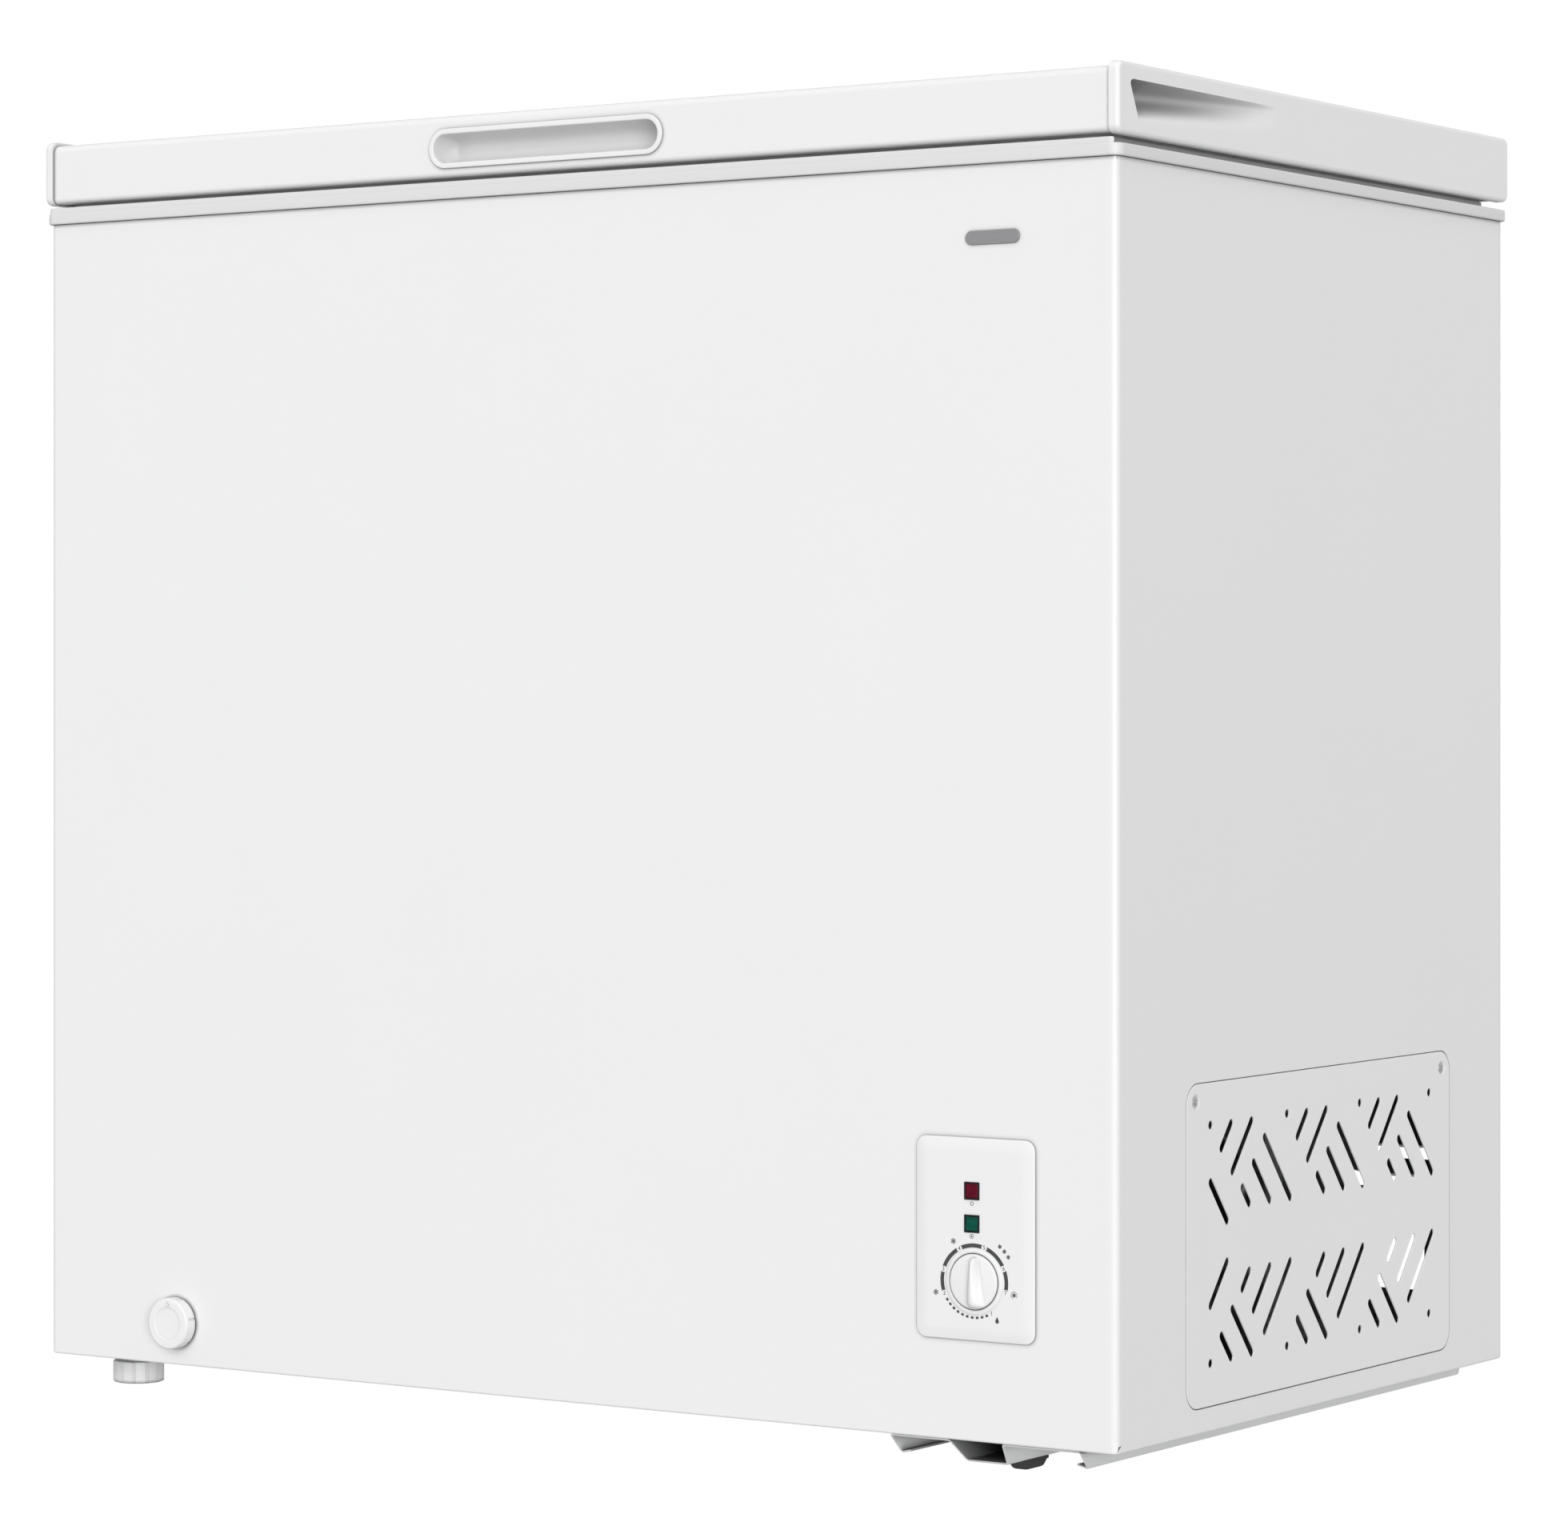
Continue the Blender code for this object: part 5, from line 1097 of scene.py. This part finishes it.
def scoop_point(along, up):
    """A point of the pressed surface, as depth, distance from the front and height.

    along runs from the near end to the back, and up from the lower edge to the top.
    """
    lean = SCOOP_NEAR + (SCOOP_FOOT - SCOOP_NEAR) * (1 - up)
    corner = 4.5 * MM * (1 - math.sqrt(max(0.0, 1 - max(0.0, (up - 0.82) / 0.18) ** 2)))
    y = lean + corner + (SCOOP_TIP + 3 * MM - lean - corner) * along
    peak = 0.64 + 0.26 * along
    if up < peak:
        curve = 0.5 - 0.5 * math.cos(math.pi * up / peak)
    else:
        curve = math.sqrt(max(0.0, 1.0 - ((up - peak) / (1.0 - peak)) ** 2))
    depth = SCOOP_DEPTH * (1 - along) ** 1.05 * curve ** (1.3 + 1.8 * along) - 0.06 * MM
    return depth, y, SCOOP_LOW + (SCOOP_TOP - SCOOP_LOW) * up


def scoop_cutter(name, side):
    """The hand scoop: sharp along its top and near end, fading out along its lower edge towards the back."""
    columns, levels = 40, 26
    shape = bmesh.new()
    grid = []
    for column in range(columns + 1):
        points = [scoop_point(column / columns, level / levels) for level in range(levels + 1)]
        grid.append([shape.verts.new((side * cap_high.x - side * d, FRONT + y, z)) for d, y, z in points])
    out = side * (cap_high.x + 4 * MM)
    rim = [shape.verts.new((out, vert.co.y, vert.co.z)) for vert in grid[0]]
    far = [(rim[0], rim[-1])]
    far += [[shape.verts.new((out, vert.co.y, vert.co.z)) for vert in (row[0], row[-1])] for row in grid[1:]]
    for a, b in zip(grid, grid[1:]):
        for i in range(levels):
            shape.faces.new((a[i], a[i + 1], b[i + 1], b[i]))
    for i in range(levels):
        shape.faces.new((rim[i], rim[i + 1], grid[0][i + 1], grid[0][i]))
    shape.faces.new([*rim, far[1][1], far[1][0]])
    for (a0, a1), (b0, b1), a, b in zip(far, far[1:], grid, grid[1:]):
        if a0 is not rim[0]:
            shape.faces.new((a0, a1, b1, b0))
        shape.faces.new((a0, b0, b[0], a[0]))
        shape.faces.new((a1, a[-1], b[-1], b1))
    shape.faces.new([far[-1][0], *grid[-1], far[-1][1]])
    return skinned(name, shape)


def in_scoop(face):
    """Whether a face of an end cap belongs to its hand scoop."""
    x, y, z = face.center
    level = SCOOP_LOW - 1 * MM < z < SCOOP_TOP + 1 * MM
    along = FRONT + SCOOP_NEAR - 2 * MM < y < FRONT + SCOOP_TIP + 4 * MM
    return level and along and abs(x) < cap_high.x - 0.02 * MM


def end_caps():
    """The lid's moulded end caps, each with a boss inside that the hand scoop is pressed into."""
    centre, size = seen("lid_end_cap_right", "yz")
    corner, soft = 5.4, 2.8
    for name, side in (("left", -1), ("right", 1)):
        outer = side * cap_high.x
        loops = [on_side(shrunk(centre, size, 0, corner, 10), side * CAP_INNER)]
        for inset, rise in edge_round(soft, soft, 7):
            outline = shrunk(centre, size, inset, corner - inset, 10)
            loops.append(on_side(outline, outer - side * (soft - rise) * MM))
        near, far = sorted((side * (CAP_INNER - 12.0 * MM), side * (cap_high.x - 5 * MM)))
        boss = block(f"boss_{name}", (near, FRONT + 10 * MM, 0.8115), (far, FRONT + 152 * MM, 0.8378))
        obj = cut(join(loft(f"end_cap_{name}", loops), boss), scoop_cutter(f"scoop_{name}", side))
        finish(obj, "white_plastic", f"lid_end_cap_{name}", "lid", angle=26)
        # The scoop's faces take the white plastic with deep painted shade.
        second_look(obj, SCOOP_SHADE_PLASTIC, in_scoop)


LID_EDGE = seen("lid_inner_panel", "xy")[1]


def lid_underside():
    """The moulded inner panel: a seal channel, a broad raised field and a sunk middle."""
    section = [(0.0, 804.2, 4), (3.0, 804.2, 4), (3.6, 805.2, 4), (4.0, 808.5, 4), (14.0, 808.5, 6)]
    section += [(14.4, 805.0, 6), (15.0, 803.6, 6), (62.0, 803.6, 18), (64.5, 803.0, 17), (66.5, 800.8, 16)]
    section += [(69.0, 795.5, 16), (71.0, 793.6, 16), (76.0, 792.6, 16), (98.0, 792.5, 20)]
    section += [(101.0, 793.0, 20), (104.5, 794.4, 20), (108.0, 795.0, 20)]
    top = [(inset, height + 1.2, radius) for inset, height, radius in section]
    loops = ring_loops(section[::-1] + top, LID_EDGE)
    finish(loft("lid_underside", loops), "white_plastic", "lid_inner_panel", "lid", angle=40)


def door_seal():
    """The bellows seal: a foot in its channel, a folded waist and a broad magnetic lip."""
    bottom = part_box("lid_gasket")[0].z / MM
    section = [(4.6, 8.0), (4.6, 6.4), (5.3, 5.6), (5.9, 5.0), (5.4, 4.5), (4.5, 4.0), (4.3, 3.5), (5.0, 3.0)]
    section += [(5.2, 2.6), (4.1, 2.3), (3.9, 1.4), (3.9, 0.3), (4.4, 0.0), (13.4, 0.0), (13.9, 0.3)]
    section += [(13.9, 1.4), (13.6, 2.3), (12.6, 2.6), (12.8, 3.0), (13.5, 3.5), (13.3, 4.0), (12.4, 4.5)]
    section += [(12.0, 5.0), (12.5, 5.6), (13.4, 6.4), (13.4, 8.0)]
    loops = ring_loops([(inset, bottom + rise * 1.15, 5) for inset, rise in section], LID_EDGE)
    finish(loft("door_seal", loops, closed=True), "seal_rubber", "lid_gasket", "lid", angle=40)


# Base, bay and rear


def runner():
    """The pressed steel runner under the bay: rounded folds, raked front ends and painted shade in its
    troughs, a darker steel on its upward faces.
    """
    low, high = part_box("base_runner")
    top = high.z - 0.6 * MM
    line = [(0.2665, 0.0100), (0.2592, 0.0082), (0.2585, top), (0.3005, top), (0.3050, 0.0068)]
    line += [(0.3335, 0.0068), (0.3380, top), (0.3915, top), (0.3905, 0.0092), (0.3845, 0.0115)]
    line = filleted(line, 1.6 * MM, 4)
    obj = thickened(sheet_of("runner", [on_front(line, y) for y in (low.y, high.y)]), 1.2 * MM, 0.0)
    rake = ((-0.02, 0.0205), (0.0015, 0.0205), (0.0225, -0.0005), (-0.02, -0.0005))
    heel = ((-0.0045, 0.0205), (-0.0105, 0.0205), (-0.0165, 0.0005), (-0.0045, 0.0005))
    rake, heel = ([(start + y, z) for y, z in outline] for start, outline in ((FRONT, rake), (BACK, heel)))
    obj = cut(obj, prism("rake", on_side, rake, 0.2, 0.42), prism("heel", on_side, heel, 0.2, 0.42))
    finish(obj, "zinc_steel", "base_runner", look=PRESSED)
    # The upward faces, in the troughs and under the cabinet, take the darker steel as painted shade.
    second_look(obj, TROUGH_SHADE_STEEL, lambda face: face.normal.z > 0.1)


def skid_pads():
    """Rubber pads under the runner: a thin flange that carries a narrower tread with raked ends."""
    for name in ("skid_foot_front", "skid_foot_rear"):
        low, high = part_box(name)
        centre, size = seen(name, "xy")
        flange = prism(name + "_pad", on_level, shrunk(centre, size, 0, 2.4, 5), high.z - 1.6 * MM, high.z)
        loops = []
        for grow, rise in ((-0.8, 0.0), (0.0, 0.8), (0.0, 2.4), (0.0, 5.0)):
            span = (10.4 * MM + 2 * grow * MM, 20 * MM + 2 * (grow + rise * 1.2) * MM)
            outline = rectangle((high.x - 5.5 * MM, centre[1]), span, 1.6 * MM, 4)
            loops.append(on_level(outline, low.z + rise * MM))
        finish(join(flange, loft(name + "_tread", loops)), "black_rubber", name)


COVER_OPENINGS = (
    # x, z, width, height, corner radius; the last one is a plain window
    (0.3375, 0.1568, 0.072, 0.0100, 0.0040),
    (0.3375, 0.1368, 0.072, 0.0100, 0.0040),
    (0.2830, 0.2068, 0.060, 0.0060, 0.0025),
    (0.2830, 0.2268, 0.060, 0.0060, 0.0025),
    (0.2830, 0.2468, 0.060, 0.0060, 0.0025),
    (0.3385, 0.0850, 0.039, 0.0450, 0.0040),
)


def service_cover():
    """The louvred sheet over the bay's rear opening, with hooded slots, a window and a hole for the cord."""
    centre, size = seen("rear_cover", "xz")

    def level(inset, height):
        return on_front(shrunk(centre, size, inset, 6.0 - inset * 0.3), BACK + height * MM)

    edge = ((5.2, 0.3), (0.0, 0.3), (0.0, 1.1), (0.3, 1.4), (6.0, 1.4), (6.9, 1.7), (7.6, 2.3), (8.4, 2.5))
    hollow = ((9.0, -1.0), (9.0, 1.4), (9.8, 1.7))
    obj = loft("service_cover", [level(*step) for step in edge])
    obj = cut(obj, loft("cover_hollow", [level(*step) for step in hollow]))
    before, behind = BACK - 4 * MM, BACK + 9 * MM
    holes = []
    for i, (x, z, wide, tall, turn) in enumerate(COVER_OPENINGS):
        outline = rectangle((x, z), (wide, tall), turn)
        holes.append(prism(f"cover_opening_{i}", on_front, outline, before, behind))
    outline = circle(seen("cord_gland", "xz")[0], 8.5 * MM, 32)
    holes.append(prism("gland_hole", on_front, outline, before, behind))
    obj = cut(obj, grouped("cover_openings", holes))
    hoods = []
    for i, (x, z, wide, tall, _) in enumerate(COVER_OPENINGS[:-1]):
        hoods.append(louvre(f"louvre_{i}", x, z + tall / 2, wide, tall))
    finish(join(obj, grouped("louvres", hoods)), "zinc_steel", "rear_cover")


def louvre(name, x, top, wide, tall):
    """A hood pressed out over a slot, open below."""
    lip = 0.8 + tall * 300
    section = [(0.6, 1.8), (1.2, 2.4), (3.0, lip), (3.7, lip), (3.9, 0.4), (2.6, -1.2), (1.7, -1.6)]
    loops = []
    for step in range(9):
        share = -1 + 2 * step / 8
        flat = max(0.25, (1 - abs(share) ** 4))
        outline = []
        for out, down in section:
            outline.append((BACK + (1.7 + (out - 1.7) * flat) * MM, top + (1.2 - down * flat) * MM))
        loops.append(on_side(outline, x + share * wide * 0.49))
    return loft(name, loops)


BUSH_PROFILE = (
    # the collar outside, then the waist in the cover's hole and the barbs inside
    (4.2, 10.4), (5.6, 10.4), (6.4, 10.0), (6.9, 9.2), (7.3, 6.8), (7.9, 6.4), (7.9, 5.6), (8.6, 5.2),
    (8.6, 4.4), (10.4, 3.6), (11.0, 2.9), (11.0, 2.6), (8.2, 2.6), (8.2, 0.0), (10.8, -0.3), (10.6, -1.6),
    (9.4, -3.0), (4.6, -3.1), (4.2, -2.7),
)


def gland_bush():
    """The bush for the supply cord."""
    centre = seen("cord_gland", "xz")[0]
    loops = [on_front(circle(centre, radius * MM, 48), BACK + height * MM) for radius, height in BUSH_PROFILE]
    finish(loft("gland_bush", loops, closed=True), "black_plastic", "cord_gland")


CAN_PROFILE = (
    # radius and height as shares of the can's; the steps in the middle are its weld flange
    (0.30, 0.998), (0.46, 0.988), (0.60, 0.970), (0.74, 0.938), (0.84, 0.895), (0.91, 0.840), (0.952, 0.770),
    (0.966, 0.700), (0.972, 0.440), (0.985, 0.432), (1.030, 0.430), (1.035, 0.424), (1.035, 0.392),
    (1.030, 0.386), (0.985, 0.384), (0.972, 0.376), (0.966, 0.170), (0.94, 0.110), (0.88, 0.060),
    (0.76, 0.022), (0.55, 0.008),
)


def compressor_can():
    """The deep-drawn can with its weld flange, on the pressed foot plate."""
    low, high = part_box("compressor")
    centre, size = seen("compressor", "xy")
    tall, can_radius, longer = high.z - low.z, 55.0 * MM, 1.36
    loops = []
    for radius, height in CAN_PROFILE:
        ring = circle((0, 0), radius * can_radius, 64)
        loops.append([(centre[0] + x, centre[1] + y * longer, low.z + height * tall) for x, y in ring])
    foot = []
    for inset, height in ((0.5, 0.0), (0.0, 0.6), (0.0, 2.4), (0.6, 3.0)):
        foot.append(on_level(shrunk(centre, size, inset, 9), low.z + height * MM))
    finish(join(loft("compressor_can", loops), loft("compressor_plate", foot)), "black_paint", "compressor")


def relay_box():
    """The moulded cover over the compressor's relay, with grooves across its face."""
    low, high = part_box("relay_cover")
    centre, size = seen("relay_cover", "xz")
    face = low.y
    edge = ((0.0, high.y), (0.2, high.y - 4 * MM), (1.2, face + 4 * MM), (2.0, face + 1.4 * MM))
    edge += ((3.4, face + 0.4 * MM), (5.2, face))
    loops = [on_front(shrunk(centre, size, inset, 5.0 - inset * 0.5), y) for inset, y in edge]
    obj = loft("relay_box", loops)
    grooves = []
    for i in range(4):
        outline = slot((centre[0], centre[1] + (i - 1.5) * 7.5 * MM), 26 * MM, 2.2 * MM)
        grooves.append(prism(f"relay_groove_{i}", on_front, outline, face - 2 * MM, face + 0.9 * MM))
    finish(cut(obj, grouped("relay_grooves", grooves)), "black_plastic", "relay_cover")


# Loose pieces in the tub

BASKET_LOW, BASKET_HIGH = Vector((0.137, -0.194, 0.562)), Vector((0.336, 0.1875, 0.782))
BASKET_LEAN, BASKET_TURN = 10 * MM, 12 * MM
HOOKED_WIRES = (2, 4)


def basket_sides(axis, z):
    """Where the leaning sides of the basket stand at a height, along x (0) or y (1)."""
    inward = BASKET_LEAN * (BASKET_HIGH.z - z) / (BASKET_HIGH.z - BASKET_LOW.z)
    return BASKET_LOW[axis] + inward, BASKET_HIGH[axis] - inward


def wire_places(axis, margin, count):
    """Evenly spaced places across the basket's floor."""
    start, end = BASKET_LOW[axis] + BASKET_LEAN + margin, BASKET_HIGH[axis] - BASKET_LEAN - margin
    return [start + (end - start) * i / (count - 1) for i in range(count)]


def wire_basket():
    """The basket: a heavy rim, a band, cross wires and long wires, two of which hook over the collar."""
    floor_z, rim_z = BASKET_LOW.z, BASKET_HIGH.z
    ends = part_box("storage_basket")
    rest = ends[1].z - 1.8 * MM
    made = []
    for name, z, grow, wire in (("rim", rim_z, 0.0, 2.3), ("band", (floor_z + rim_z) / 2, -1.1, 1.7)):
        (x0, x1), (y0, y1) = basket_sides(0, z), basket_sides(1, z)
        size = (x1 - x0 + grow * MM, y1 - y0 + grow * MM)
        outline = rectangle(((x0 + x1) / 2, (y0 + y1) / 2), size, BASKET_TURN)
        made.append(tube(f"basket_{name}", on_level(outline, z), wire * MM, 12, True))
    (top0, top1), (bottom0, bottom1) = basket_sides(0, rim_z), basket_sides(0, floor_z)
    for i, y in enumerate(wire_places(1, 10 * MM, 11)):
        z, top = floor_z + 1.1 * MM, rim_z + 0.5 * MM
        route = on_front([(top0, top), (bottom0, z), (bottom1, z), (top1, top)], y)
        made.append(tube(f"basket_cross_{i}", filleted(route, BASKET_TURN, 5), 1.5 * MM))
    (top0, top1), (bottom0, bottom1) = basket_sides(1, rim_z), basket_sides(1, floor_z)
    for i, x in enumerate(wire_places(0, 12 * MM, 7)):
        line = [(top0, rim_z + 0.4 * MM), (bottom0, floor_z), (bottom1, floor_z), (top1, rim_z + 0.4 * MM)]
        if i in HOOKED_WIRES:
            front_hook = [(ends[0].y + 0.2 * MM, rest), (top0 - 4 * MM, rest), (top0 - 3.5 * MM, rim_z)]
            back_hook = [(top1 + 3.5 * MM, rim_z), (top1 + 4 * MM, rest), (ends[1].y - 0.2 * MM, rest)]
            line = front_hook + line[1:-1] + back_hook
        made.append(tube(f"basket_long_{i}", filleted(on_side(line, x), BASKET_TURN, 5), 1.8 * MM))
    finish(grouped("wire_basket", made), "basket_wire", "storage_basket", "basket", angle=60)


STOPPER_PROFILE = (
    # radius, and height as a share of the whole
    (0.0, 0.0), (4.6, 0.0), (6.0, 0.42), (6.3, 0.47), (11.4, 0.5), (11.9, 0.54), (12.0, 0.6), (11.6, 0.66),
    (9.0, 0.72), (0.0, 0.76),
)


def drain_stopper():
    """The stopper in the tub's drain: a domed head with a finger bar and a tapered stem."""
    low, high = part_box("drain_plug")
    centre = seen("drain_plug", "xy")[0]
    tall = (high.z - low.z) / MM
    profile = [(radius, share * tall) for radius, share in STOPPER_PROFILE]
    profile.insert(2, (5.2, 0.6))
    obj = turned("drain_stopper", profile, (*centre, low.z), "up", 48)
    bar = []
    for inset, height in ((0.0, tall * 0.6), (0.0, tall * 0.93), (0.5, tall * 0.98), (1.2, tall)):
        bar.append(on_level(shrunk(centre, (15 * MM, 4.4 * MM), inset, 2.1 - inset, 5), low.z + height * MM))
    finish(join(obj, loft("stopper_bar", bar)), "white_plastic", "drain_plug", "drain_stopper")


SOFTENED = (
    "hinge_base", "hinge_arm", "bottom_panel", "compressor_base_plate", "thermostat_body", "drain_tube",
    "filter_drier",
)


def carried_nodes():
    """The CAD pieces whose shape is right take their finish, and folded and pressed ones get soft edges."""
    finishes = {part["node"]: SLOT_FINISH[part["material_slot"]] for part in frame["record"]["subparts"]}
    # The bay's housing panel takes the galvanised steel painted dark: painted shade.
    finishes["housing_panel"] = BAY_SHADE_STEEL
    for name, obj in frame["nodes"].items():
        obj.data.materials.clear()
        obj.data.materials.append(finishes[name])
        if name.startswith(SOFTENED):
            modified(
                obj, "BEVEL", width=0.35 * MM, segments=2, limit_method="ANGLE", angle_limit=math.radians(40),
                use_clamp_overlap=True,
            )


STEPS = (
    camera, floor, light, carried_nodes, skin_wrap, collar, tub_skin, name_plate, grille, control_plate,
    lamps, dial_print, spindle, dial_knob, outlet_cap, feet, cover_sheet, hand_grip, end_caps, lid_underside,
    door_seal, runner, skid_pads, service_cover, gland_bush, compressor_can, relay_box, wire_basket,
    drain_stopper,
)
for step in STEPS:
    step()
